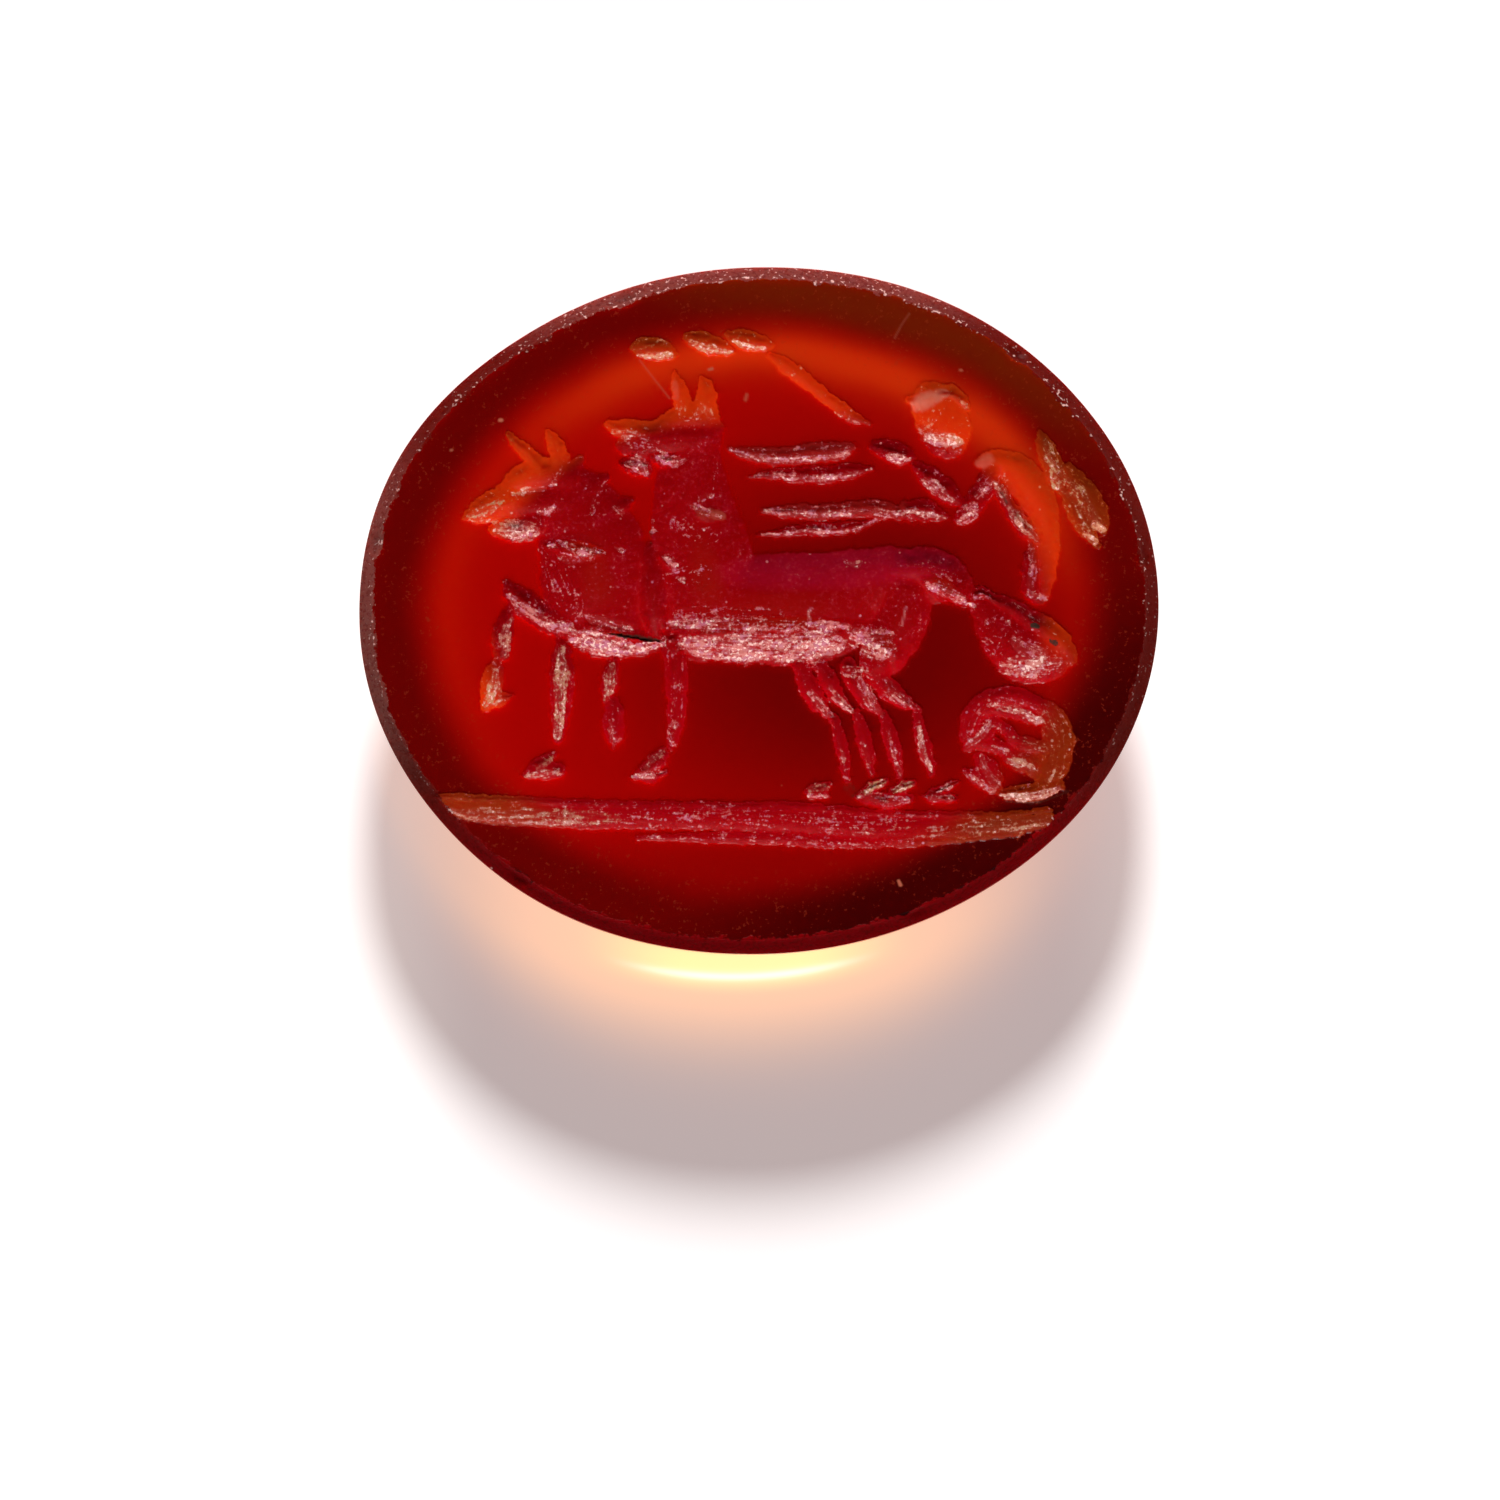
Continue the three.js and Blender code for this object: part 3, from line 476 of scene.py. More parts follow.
wheel = {
    "rim top": (0.18, 0.5, [
        (0.505, -0.4, 0.02), (0.518, -0.345, 0.028), (0.56, -0.3, 0.03), (0.615, -0.288, 0.028),
        (0.665, -0.305, 0.024), (0.702, -0.33, 0.02)]),
    "inner arc": (0.15, 0.9, [
        (0.55, -0.322, 0.01), (0.6, -0.325, 0.02), (0.645, -0.338, 0.021), (0.692, -0.362, 0.014)]),
    "rim side": (0.17, 0.6, [
        (0.7, -0.32, 0.02), (0.726, -0.37, 0.038), (0.73, -0.43, 0.044), (0.716, -0.492, 0.043),
        (0.698, -0.542, 0.03)]),
    "rim foot": (0.17, 0.8, [
        (0.58, -0.564, 0.011), (0.62, -0.571, 0.021), (0.672, -0.568, 0.025), (0.73, -0.55, 0.016)]),
    "rim front": (0.15, 0.7, [
        (0.498, -0.5, 0.01), (0.53, -0.52, 0.022), (0.562, -0.54, 0.024), (0.582, -0.55, 0.01)]),
    "spoke": (0.16, 0.8, [
        (0.496, -0.432, 0.01), (0.528, -0.412, 0.022), (0.554, -0.384, 0.025), (0.575, -0.352, 0.016)]),
    "second spoke": (0.13, 0.6, [(0.52, -0.41, 0.016), (0.565, -0.425, 0.022), (0.61, -0.446, 0.014)]),
    "third spoke": (0.14, 0.6, [(0.53, -0.462, 0.016), (0.55, -0.49, 0.026), (0.57, -0.52, 0.022)]),
    "hub": (0.17, 0.9, [
        (0.602, -0.468, 0.014), (0.636, -0.472, 0.03), (0.662, -0.492, 0.028), (0.672, -0.515, 0.014)]),
    "fourth spoke": (0.13, 0.6, [(0.612, -0.412, 0.014), (0.65, -0.43, 0.024), (0.7, -0.446, 0.02)]),
    "fifth spoke": (0.13, 0.5, [(0.625, -0.41, 0.014), (0.605, -0.385, 0.018), (0.578, -0.365, 0.014)]),
}

# These passes go over what is already cut, and take it a little deeper: greatest depth in mm, how
# frosted, and the run.
passes = {
    "front belly": (0.05, 1, [
        (-0.47, -0.035, 0.01), (-0.42, -0.04, 0.022), (-0.36, -0.052, 0.022), (-0.29, -0.072, 0.01)]),
    "front belly low": (0.05, 1, [
        (-0.44, -0.07, 0.012), (-0.4, -0.085, 0.026), (-0.35, -0.095, 0.026), (-0.28, -0.09, 0.012),
        (-0.24, -0.08, 0.006)]),
    "line in the belly": (0.08, 0, [(-0.40, -0.04, 0.004), (-0.33, -0.06, 0.007), (-0.25, -0.08, 0.005)]),
    "chest gouge": (0.08, 1, [
        (-0.52, 0.215, 0.01), (-0.47, 0.21, 0.018), (-0.43, 0.198, 0.02), (-0.39, 0.19, 0.01)]),
    "rear belly top": (0.05, 1, [
        (-0.23, -0.045, 0.012), (-0.13, -0.045, 0.02), (0, -0.04, 0.02), (0.12, -0.048, 0.02),
        (0.215, -0.05, 0.012)]),
    "rear belly upper": (0.05, 1, [
        (-0.22, -0.07, 0.014), (-0.12, -0.078, 0.024), (0, -0.074, 0.024), (0.12, -0.082, 0.022),
        (0.2, -0.08, 0.012)]),
    "rear belly middle": (0.05, 1, [
        (-0.2, -0.1, 0.014), (-0.12, -0.108, 0.024), (0, -0.108, 0.024), (0.12, -0.113, 0.022),
        (0.2, -0.1, 0.01)]),
    "rear belly low": (0.045, 1, [
        (-0.175, -0.128, 0.01), (-0.09, -0.14, 0.022), (0.01, -0.144, 0.022), (0.09, -0.148, 0.02),
        (0.175, -0.15, 0.01)]),
    "thigh gouge": (0.06, 1, [(0.24, -0.07, 0.02), (0.29, -0.1, 0.035), (0.335, -0.15, 0.02)]),
    "croup gouge": (0.08, 1, [
        (0.42, 0.06, 0.015), (0.46, 0.035, 0.03), (0.50, 0.01, 0.025), (0.53, -0.01, 0.006)]),
    "neck mark": (0.05, 0.8, [(-0.15, 0.31, 0.012), (-0.12, 0.285, 0.02), (-0.08, 0.277, 0.006)]),
    "chest mark": (0.05, 0.8, [(-0.235, 0.16, 0.01), (-0.21, 0.145, 0.015), (-0.195, 0.13, 0.005)]),
}

# Where the walls of the cuts are ground pale: how strongly, how dusty, and the run. It reaches
# only as far as the cuts do.
# The stronger a run, the more of its grains are painted as glints, a painted highlight.
frosting = {
    "muzzle": (0.74, 0.9, [
        (-0.71, 0.307, 0.012), (-0.68, 0.318, 0.024), (-0.65, 0.338, 0.016), (-0.628, 0.352, 0.006)]),
    "lip": (0.9, 0.1, [(-0.712, 0.297, 0.008), (-0.68, 0.288, 0.012), (-0.65, 0.29, 0.01)]),
    "jaw": (1.05, 0.4, [
        (-0.648, 0.264, 0.012), (-0.615, 0.266, 0.029), (-0.58, 0.26, 0.034), (-0.552, 0.252, 0.018)]),
    "jaw edge": (1.3, 0, [(-0.61, 0.238, 0.006), (-0.588, 0.24, 0.009), (-0.565, 0.25, 0.008)]),
    "cheek bar": (1.15, 0, [
        (-0.602, 0.366, 0.008), (-0.57, 0.374, 0.011), (-0.54, 0.378, 0.01), (-0.52, 0.382, 0.005)]),
    "brow spot": (0.9, 0, [(-0.51, 0.388, 0.005), (-0.498, 0.393, 0.007)]),
    "under cheek": (0.95, 0, [(-0.537, 0.312, 0.007), (-0.52, 0.311, 0.013), (-0.503, 0.327, 0.009)]),
    "cheek": (0.4, 0, [(-0.63, 0.325, 0.01), (-0.59, 0.33, 0.016), (-0.55, 0.33, 0.02)]),
    "nape": (0.45, 0, [(-0.487, 0.41, 0.012), (-0.465, 0.44, 0.014), (-0.43, 0.455, 0.014)]),
    "mane": (0.6, 0, [
        (-0.407, 0.31, 0.009), (-0.4, 0.34, 0.016), (-0.385, 0.37, 0.014), (-0.368, 0.388, 0.01)]),
    "low mane": (0.75, 0, [(-0.347, 0.316, 0.007), (-0.33, 0.298, 0.012)]),
    "throat": (0.45, 0, [(-0.555, 0.232, 0.012), (-0.545, 0.205, 0.012), (-0.53, 0.178, 0.01)]),
    "chest spot": (1, 0, [(-0.516, 0.212, 0.006), (-0.503, 0.212, 0.008)]),
    "chest bar": (0.85, 0, [
        (-0.49, 0.222, 0.01), (-0.46, 0.208, 0.016), (-0.43, 0.194, 0.018), (-0.385, 0.19, 0.008)]),
    "chest glint": (1.4, 0, [(-0.442, 0.194, 0.008), (-0.425, 0.192, 0.01), (-0.4, 0.191, 0.006)]),
    "chest under": (0.75, 0, [(-0.488, 0.178, 0.012), (-0.455, 0.17, 0.02), (-0.415, 0.172, 0.014)]),
    "chest right": (0.85, 0, [(-0.353, 0.2, 0.006), (-0.337, 0.192, 0.01)]),
    "breast": (0.36, 0, [(-0.52, 0.19, 0.03), (-0.5, 0.12, 0.05), (-0.48, 0.04, 0.05)]),
    "forearm": (0.85, 0.1, [
        (-0.618, 0.068, 0.012), (-0.595, 0.042, 0.02), (-0.565, 0.014, 0.022), (-0.535, -0.012, 0.019),
        (-0.5, -0.024, 0.02), (-0.473, -0.03, 0.014)]),
    "forearm end": (1.2, 0, [(-0.495, -0.02, 0.008), (-0.48, -0.03, 0.01)]),
    "raised shin": (0.9, 0.5, [
        (-0.62, 0.005, 0.009), (-0.634, -0.03, 0.015), (-0.638, -0.065, 0.019), (-0.638, -0.098, 0.014)]),
    "raised pastern": (0.9, 0.5, [
        (-0.663, -0.145, 0.008), (-0.667, -0.18, 0.015), (-0.672, -0.212, 0.023), (-0.69, -0.242, 0.016)]),
    "raised hoof": (0.7, 0.1, [(-0.665, -0.226, 0.014), (-0.63, -0.218, 0.008)]),
    "belly top": (1, 0, [
        (-0.43, 0.0, 0.01), (-0.4, -0.012, 0.015), (-0.365, -0.027, 0.014), (-0.322, -0.042, 0.008)]),
    "belly leaf": (1.25, 0, [
        (-0.468, -0.068, 0.016), (-0.435, -0.066, 0.032), (-0.4, -0.075, 0.037), (-0.36, -0.088, 0.028),
        (-0.32, -0.103, 0.022), (-0.28, -0.096, 0.015), (-0.25, -0.086, 0.011), (-0.237, -0.07, 0.006)]),
    "belly glint": (1.4, 0, [
        (-0.425, -0.074, 0.01), (-0.4, -0.08, 0.018), (-0.365, -0.095, 0.012), (-0.33, -0.106, 0.011)]),
    "first leg": (1.12, 0.75, [
        (-0.5, -0.088, 0.009), (-0.499, -0.13, 0.018), (-0.502, -0.18, 0.02), (-0.506, -0.22, 0.019),
        (-0.51, -0.27, 0.016), (-0.514, -0.31, 0.016), (-0.519, -0.343, 0.012)]),
    "second leg": (0.9, 0.65, [
        (-0.372, -0.143, 0.009), (-0.378, -0.175, 0.015), (-0.382, -0.21, 0.015), (-0.397, -0.242, 0.007)]),
    "second foreshin": (0.8, 0.1, [
        (-0.385, -0.305, 0.005), (-0.381, -0.345, 0.008), (-0.38, -0.382, 0.009), (-0.366, -0.36, 0.007)]),
    "second shin wash": (0.5, 0, [(-0.375, -0.27, 0.014), (-0.376, -0.31, 0.022), (-0.378, -0.36, 0.018)]),
    "third leg": (0.4, 0, [(-0.22, -0.12, 0.02), (-0.215, -0.22, 0.024), (-0.225, -0.32, 0.022)]),
    "third foreshin": (0.8, 0, [(-0.232, -0.33, 0.01), (-0.222, -0.326, 0.008)]),
    "third fetlock": (0.65, 0, [(-0.245, -0.33, 0.008), (-0.24, -0.37, 0.012), (-0.228, -0.39, 0.008)]),
    "hoof": (0.8, 0.5, [(-0.6, -0.452, 0.008), (-0.565, -0.452, 0.018), (-0.528, -0.446, 0.014)]),
    "fetlock": (0.9, 0.9, [(-0.572, -0.434, 0.009), (-0.55, -0.42, 0.012), (-0.53, -0.404, 0.007)]),
    "second hoof": (0.95, 0.5, [
        (-0.3, -0.442, 0.009), (-0.285, -0.427, 0.012), (-0.265, -0.408, 0.01), (-0.254, -0.398, 0.005)]),
    "second sole": (1.2, 0, [(-0.33, -0.468, 0.007), (-0.308, -0.467, 0.011), (-0.285, -0.467, 0.01)]),
    "second heel": (0.75, 0.1, [(-0.3, -0.452, 0.01), (-0.265, -0.455, 0.013)]),
    "nose": (0.8, 0.1, [
        (-0.345, 0.53, 0.006), (-0.31, 0.53, 0.011), (-0.28, 0.523, 0.012), (-0.262, 0.514, 0.007)]),
    "nose spot": (1.2, 0, [(-0.264, 0.541, 0.005), (-0.257, 0.541, 0.006)]),
    "face": (0.62, 0.1, [
        (-0.335, 0.51, 0.012), (-0.3, 0.503, 0.016), (-0.262, 0.49, 0.016), (-0.235, 0.483, 0.016),
        (-0.215, 0.472, 0.01)]),
    "rear jaw": (0.92, 0.1, [
        (-0.318, 0.443, 0.006), (-0.298, 0.44, 0.02), (-0.28, 0.438, 0.023), (-0.268, 0.408, 0.008)]),
    "rear cheek": (1.2, 0, [
        (-0.238, 0.455, 0.007), (-0.212, 0.448, 0.015), (-0.19, 0.441, 0.015), (-0.168, 0.445, 0.005)]),
    "rear ear": (0.6, 0, [(-0.18, 0.66, 0.007), (-0.175, 0.615, 0.012), (-0.172, 0.582, 0.012)]),
    "rear far ear": (0.75, 0, [(-0.132, 0.575, 0.011), (-0.115, 0.597, 0.012), (-0.103, 0.572, 0.011)]),
    "poll": (0.34, 0, [(-0.168, 0.545, 0.018), (-0.13, 0.548, 0.03), (-0.095, 0.545, 0.016)]),
    "neck scar": (0.95, 0, [
        (-0.157, 0.312, 0.008), (-0.14, 0.302, 0.015), (-0.12, 0.287, 0.014), (-0.085, 0.277, 0.006)]),
    "neck scar top": (0.65, 0, [(-0.132, 0.332, 0.012), (-0.108, 0.34, 0.012)]),
    "neck crest": (0.6, 0, [(-0.102, 0.355, 0.007), (-0.095, 0.39, 0.008), (-0.088, 0.43, 0.008)]),
    "neck dot": (1.5, 0.3, [(-0.06, 0.421, 0.007), (-0.056, 0.421, 0.007)]),
    "shoulder": (0.4, 0, [(-0.19, 0.26, 0.03), (-0.16, 0.22, 0.035), (-0.11, 0.23, 0.03)]),
    "shoulder mark": (1.05, 0, [(-0.228, 0.16, 0.008), (-0.218, 0.156, 0.011), (-0.205, 0.141, 0.01)]),
    "shoulder low": (0.5, 0, [(-0.22, 0.1, 0.02), (-0.18, 0.11, 0.03), (-0.14, 0.12, 0.03)]),
    "shoulder dot": (1.2, 0, [(-0.19, 0.1, 0.006), (-0.186, 0.1, 0.006)]),
    "seam dot": (1.1, 0, [(-0.262, 0.27, 0.005), (-0.257, 0.27, 0.005)]),
    "seam low dot": (1.1, 0, [(-0.264, 0.243, 0.006), (-0.25, 0.243, 0.005)]),
    "barrel patch": (0.85, 0.3, [(0.23, 0.122, 0.008), (0.245, 0.118, 0.012), (0.262, 0.124, 0.006)]),
    "rear belly": (1.12, 0.12, [
        (-0.19, -0.09, 0.02), (-0.14, -0.102, 0.036), (-0.05, -0.11, 0.043), (0.05, -0.115, 0.044),
        (0.13, -0.118, 0.042), (0.188, -0.112, 0.03)]),
    "rear belly top": (0.95, 0, [
        (-0.222, -0.03, 0.012), (-0.15, -0.036, 0.018), (-0.06, -0.038, 0.022), (0.02, -0.047, 0.023),
        (0.1, -0.056, 0.021), (0.17, -0.057, 0.02), (0.217, -0.06, 0.01)]),
    "belly haze": (0.5, 0, [(-0.2, -0.01, 0.02), (-0.08, -0.005, 0.02), (0.05, -0.02, 0.02)]),
    "thigh top": (0.9, 0, [
        (0.24, -0.078, 0.011), (0.27, -0.085, 0.02), (0.3, -0.088, 0.02), (0.328, -0.09, 0.012)]),
    "thigh": (1.3, 0.15, [
        (0.248, -0.118, 0.012), (0.275, -0.13, 0.027), (0.3, -0.142, 0.024), (0.316, -0.15, 0.01)]),
    "thigh edge": (0.7, 0, [(0.235, -0.09, 0.03), (0.28, -0.12, 0.055), (0.32, -0.13, 0.035)]),
    "first hock": (0.85, 0.1, [
        (0.12, -0.248, 0.009), (0.14, -0.28, 0.014), (0.155, -0.308, 0.013), (0.17, -0.322, 0.006)]),
    "second hock": (0.95, 0.2, [
        (0.17, -0.24, 0.009), (0.19, -0.27, 0.014), (0.208, -0.294, 0.011), (0.223, -0.31, 0.005)]),
    "third hock": (0.85, 0.1, [
        (0.245, -0.22, 0.012), (0.262, -0.27, 0.018), (0.28, -0.305, 0.013), (0.296, -0.322, 0.006)]),
    "between hocks": (0.65, 0.2, [(0.21, -0.19, 0.02), (0.26, -0.2, 0.018), (0.29, -0.215, 0.014)]),
    "fourth hock": (0.74, 0.1, [
        (0.31, -0.222, 0.014), (0.325, -0.258, 0.022), (0.345, -0.28, 0.021), (0.37, -0.298, 0.012),
        (0.388, -0.312, 0.005)]),
    "shin": (0.85, 0.3, [(0.188, -0.415, 0.006), (0.193, -0.45, 0.01)]),
    "shin foot": (0.8, 0.1, [(0.193, -0.5, 0.006), (0.208, -0.507, 0.005)]),
    "second shin": (0.64, 0.3, [
        (0.243, -0.402, 0.007), (0.25, -0.43, 0.01), (0.256, -0.462, 0.01), (0.262, -0.492, 0.006)]),
    "third shin": (0.75, 0.1, [
        (0.31, -0.375, 0.006), (0.318, -0.43, 0.008), (0.325, -0.465, 0.008), (0.335, -0.496, 0.007)]),
    "fourth shin": (1.05, 0.4, [
        (0.388, -0.365, 0.008), (0.39, -0.41, 0.01), (0.396, -0.45, 0.01), (0.411, -0.492, 0.007)]),
    "rear hoof": (0.85, 0.7, [(0.108, -0.53, 0.011), (0.135, -0.525, 0.013), (0.152, -0.53, 0.007)]),
    "rear hoof sole": (0.9, 0, [(0.105, -0.549, 0.006), (0.13, -0.552, 0.007), (0.148, -0.556, 0.006)]),
    "middle hoof": (0.76, 0.1, [
        (0.228, -0.556, 0.009), (0.26, -0.563, 0.014), (0.3, -0.573, 0.016), (0.345, -0.574, 0.013)]),
    "middle pastern": (1.05, 1, [(0.245, -0.546, 0.008), (0.265, -0.527, 0.013), (0.29, -0.515, 0.01)]),
    "right pastern": (0.95, 1, [(0.323, -0.541, 0.01), (0.345, -0.532, 0.013), (0.364, -0.527, 0.007)]),
    "last hoof": (0.9, 0.1, [(0.398, -0.568, 0.007), (0.42, -0.572, 0.013), (0.458, -0.576, 0.011)]),
    "last pastern": (0.9, 0.2, [(0.423, -0.557, 0.008), (0.45, -0.541, 0.009), (0.475, -0.529, 0.004)]),
    "croup": (1, 0, [
        (0.428, 0.047, 0.012), (0.46, 0.035, 0.022), (0.49, 0.015, 0.02), (0.512, 0.0, 0.011)]),
    "croup dot": (1.6, 0, [(0.522, -0.012, 0.005), (0.532, -0.016, 0.006)]),
    "croup specks": (0.5, 0, [(0.41, 0.11, 0.014), (0.45, 0.085, 0.018), (0.5, 0.065, 0.022)]),
    "tail": (0.82, 0.2, [
        (0.595, -0.195, 0.012), (0.63, -0.198, 0.03), (0.665, -0.195, 0.04), (0.7, -0.2, 0.03),
        (0.74, -0.195, 0.015)]),
    "tail middle": (0.9, 0, [(0.635, -0.125, 0.014), (0.665, -0.15, 0.026), (0.7, -0.17, 0.022)]),
    "tail glint": (1.4, 0.2, [(0.66, -0.21, 0.01), (0.69, -0.188, 0.013), (0.705, -0.178, 0.008)]),
    "tail left": (0.42, 0, [(0.555, -0.13, 0.022), (0.59, -0.16, 0.035), (0.61, -0.12, 0.03)]),
    "tail root": (0.6, 0, [(0.545, 0.01, 0.012), (0.575, 0.006, 0.011)]),
    "tail edge": (0.6, 0.3, [
        (0.64, -0.017, 0.006), (0.68, -0.06, 0.01), (0.71, -0.085, 0.01), (0.735, -0.11, 0.008)]),
    "tail dots": (1, 0, [(0.563, -0.06, 0.006), (0.567, -0.072, 0.006)]),
    "head base": (1.35, 0, [
        (0.44, 0.474, 0.011), (0.462, 0.474, 0.02), (0.49, 0.471, 0.024), (0.522, 0.462, 0.013)]),
    "head left": (0.65, 0, [(0.425, 0.495, 0.014), (0.445, 0.512, 0.018), (0.46, 0.53, 0.012)]),
    "head side": (1, 0, [(0.53, 0.578, 0.005), (0.54, 0.562, 0.009)]),
    "whip hand": (1.15, 0.2, [(0.343, 0.426, 0.009), (0.365, 0.42, 0.015), (0.392, 0.414, 0.009)]),
    "whip hand top": (0.5, 0, [(0.325, 0.452, 0.011), (0.35, 0.455, 0.011), (0.38, 0.44, 0.01)]),
    "lower arm": (0.92, 0.2, [
        (0.428, 0.352, 0.013), (0.455, 0.33, 0.02), (0.475, 0.31, 0.015), (0.498, 0.292, 0.009)]),
    "rein hand": (1.1, 0.3, [
        (0.375, 0.266, 0.007), (0.4, 0.262, 0.01), (0.43, 0.252, 0.012), (0.472, 0.242, 0.009)]),
    "rein hand top": (0.5, 0, [(0.37, 0.285, 0.01), (0.42, 0.28, 0.01)]),
    "elbow": (1, 0.1, [(0.512, 0.228, 0.012), (0.535, 0.24, 0.017), (0.552, 0.252, 0.011)]),
    "elbow top": (0.9, 0, [(0.53, 0.265, 0.011), (0.545, 0.277, 0.013)]),
    "upper arm": (0.75, 0, [(0.558, 0.3, 0.013), (0.58, 0.325, 0.016), (0.597, 0.342, 0.012)]),
    "arm specks": (0.45, 0, [(0.56, 0.27, 0.025), (0.59, 0.31, 0.03), (0.62, 0.35, 0.02)]),
    "front limb": (1, 0.5, [
        (0.604, 0.337, 0.009), (0.62, 0.31, 0.012), (0.633, 0.275, 0.012), (0.65, 0.242, 0.014),
        (0.663, 0.215, 0.016), (0.68, 0.195, 0.014), (0.702, 0.168, 0.009)]),
    "hip": (0.72, 0, [
        (0.686, 0.155, 0.009), (0.689, 0.11, 0.012), (0.684, 0.06, 0.016), (0.681, 0.018, 0.014)]),
    "hip foot": (1, 0, [(0.676, 0.012, 0.009), (0.7, 0.0, 0.009), (0.716, -0.01, 0.011)]),
    "wing": (0.9, 0.7, [
        (0.738, 0.405, 0.009), (0.752, 0.372, 0.012), (0.75, 0.345, 0.011), (0.758, 0.318, 0.011)]),
    "wing feathers": (0.6, 0.9, [
        (0.735, 0.45, 0.012), (0.77, 0.34, 0.022), (0.815, 0.28, 0.032), (0.84, 0.21, 0.026)]),
    "wing tip": (1.05, 0.2, [(0.848, 0.2, 0.01), (0.868, 0.188, 0.01)]),
    "wing low tip": (1.05, 0.1, [(0.828, 0.167, 0.011), (0.846, 0.152, 0.012)]),
    "top rein": (0.92, 0.1, [
        (-0.055, 0.464, 0.007), (0, 0.446, 0.009), (0.06, 0.433, 0.01), (0.12, 0.431, 0.011),
        (0.2, 0.434, 0.01), (0.243, 0.44, 0.006)]),
    "top rein wash": (0.46, 0, [
        (0, 0.458, 0.016), (0.1, 0.454, 0.024), (0.2, 0.456, 0.022), (0.24, 0.46, 0.012)]),
    "second rein": (0.85, 0.1, [
        (-0.012, 0.384, 0.006), (0.04, 0.39, 0.008), (0.1, 0.378, 0.009), (0.16, 0.373, 0.011),
        (0.22, 0.375, 0.011), (0.295, 0.391, 0.006)]),
    "second rein wash": (0.44, 0, [(0.06, 0.405, 0.012), (0.15, 0.4, 0.02), (0.25, 0.405, 0.016)]),
    "third rein": (0.92, 0.1, [
        (0.028, 0.287, 0.008), (0.07, 0.28, 0.01), (0.14, 0.27, 0.01), (0.22, 0.268, 0.009),
        (0.285, 0.275, 0.007)]),
    "third rein wash": (0.46, 0, [
        (0.04, 0.3, 0.012), (0.12, 0.286, 0.018), (0.25, 0.286, 0.018), (0.32, 0.288, 0.02)]),
    "rein end": (0.8, 0.2, [(0.3, 0.27, 0.009), (0.34, 0.26, 0.013), (0.365, 0.262, 0.008)]),
    "low rein": (0.92, 0.1, [
        (0.018, 0.217, 0.006), (0.08, 0.217, 0.007), (0.13, 0.224, 0.009), (0.18, 0.214, 0.009),
        (0.24, 0.217, 0.007), (0.302, 0.242, 0.005)]),
    "low rein wash": (0.46, 0, [(0.05, 0.232, 0.01), (0.15, 0.234, 0.016), (0.25, 0.238, 0.012)]),
    "whip": (0.8, 0, [
        (0.213, 0.561, 0.007), (0.23, 0.548, 0.008), (0.26, 0.53, 0.007), (0.29, 0.525, 0.005)]),
    "left mark": (1.25, 0.1, [(-0.268, 0.75, 0.007), (-0.23, 0.752, 0.011), (-0.195, 0.752, 0.009)]),
    "left mark top": (0.3, 0.6, [(-0.275, 0.775, 0.012), (-0.24, 0.78, 0.022), (-0.215, 0.79, 0.012)]),
    "middle mark": (1, 0.1, [
        (-0.143, 0.785, 0.007), (-0.11, 0.77, 0.013), (-0.08, 0.76, 0.015), (-0.045, 0.752, 0.008)]),
    "middle mark top": (0.26, 0.7, [(-0.14, 0.81, 0.008), (-0.09, 0.785, 0.012), (-0.05, 0.77, 0.01)]),
    "right mark": (1.05, 0.1, [
        (-0.032, 0.78, 0.007), (0.0, 0.765, 0.01), (0.02, 0.757, 0.014), (0.043, 0.757, 0.008)]),
    "ground left": (0.72, 0.7, [
        (-0.79, -0.552, 0.018), (-0.72, -0.562, 0.024), (-0.6, -0.574, 0.026), (-0.48, -0.582, 0.026),
        (-0.38, -0.588, 0.014)]),
    "ground left edge": (0.95, 0.5, [
        (-0.79, -0.575, 0.008), (-0.7, -0.585, 0.009), (-0.58, -0.595, 0.009), (-0.46, -0.6, 0.008)]),
    "ground middle": (0.5, 0, [
        (-0.5, -0.578, 0.024), (-0.38, -0.585, 0.026), (-0.25, -0.595, 0.026), (-0.1, -0.602, 0.027),
        (0.05, -0.616, 0.026), (0.2, -0.63, 0.024), (0.3, -0.64, 0.02)]),
    "ground crest": (0.42, 0, [
        (-0.35, -0.555, 0.01), (-0.15, -0.568, 0.01), (0.05, -0.585, 0.012), (0.2, -0.6, 0.012),
        (0.4, -0.628, 0.012)]),
    "ground right": (0.42, 0.5, [
        (0.22, -0.655, 0.02), (0.34, -0.665, 0.028), (0.46, -0.668, 0.03), (0.56, -0.666, 0.03)]),
    "ground right end": (0.64, 0.8, [
        (0.5, -0.665, 0.022), (0.58, -0.663, 0.028), (0.65, -0.655, 0.026), (0.7, -0.648, 0.016)]),
    "ground low": (0.5, 0, [
        (-0.3, -0.65, 0.007), (-0.12, -0.658, 0.012), (0.05, -0.672, 0.014), (0.2, -0.69, 0.012),
        (0.35, -0.7, 0.01)]),
    "wheel arc": (1.05, 0.3, [
        (0.563, -0.31, 0.007), (0.61, -0.32, 0.014), (0.65, -0.337, 0.014), (0.688, -0.362, 0.01)]),
    "wheel top": (0.42, 0, [
        (0.51, -0.39, 0.015), (0.54, -0.32, 0.02), (0.61, -0.285, 0.02), (0.69, -0.31, 0.02)]),
    "wheel spoke": (0.9, 0.1, [
        (0.503, -0.425, 0.007), (0.53, -0.406, 0.014), (0.55, -0.38, 0.014), (0.562, -0.357, 0.01)]),
    "wheel dot": (1.1, 0, [(0.574, -0.37, 0.005), (0.578, -0.37, 0.005)]),
    "wheel left": (0.8, 0.3, [
        (0.538, -0.46, 0.01), (0.545, -0.49, 0.015), (0.56, -0.52, 0.016), (0.577, -0.54, 0.011)]),
    "wheel front": (0.85, 0.2, [
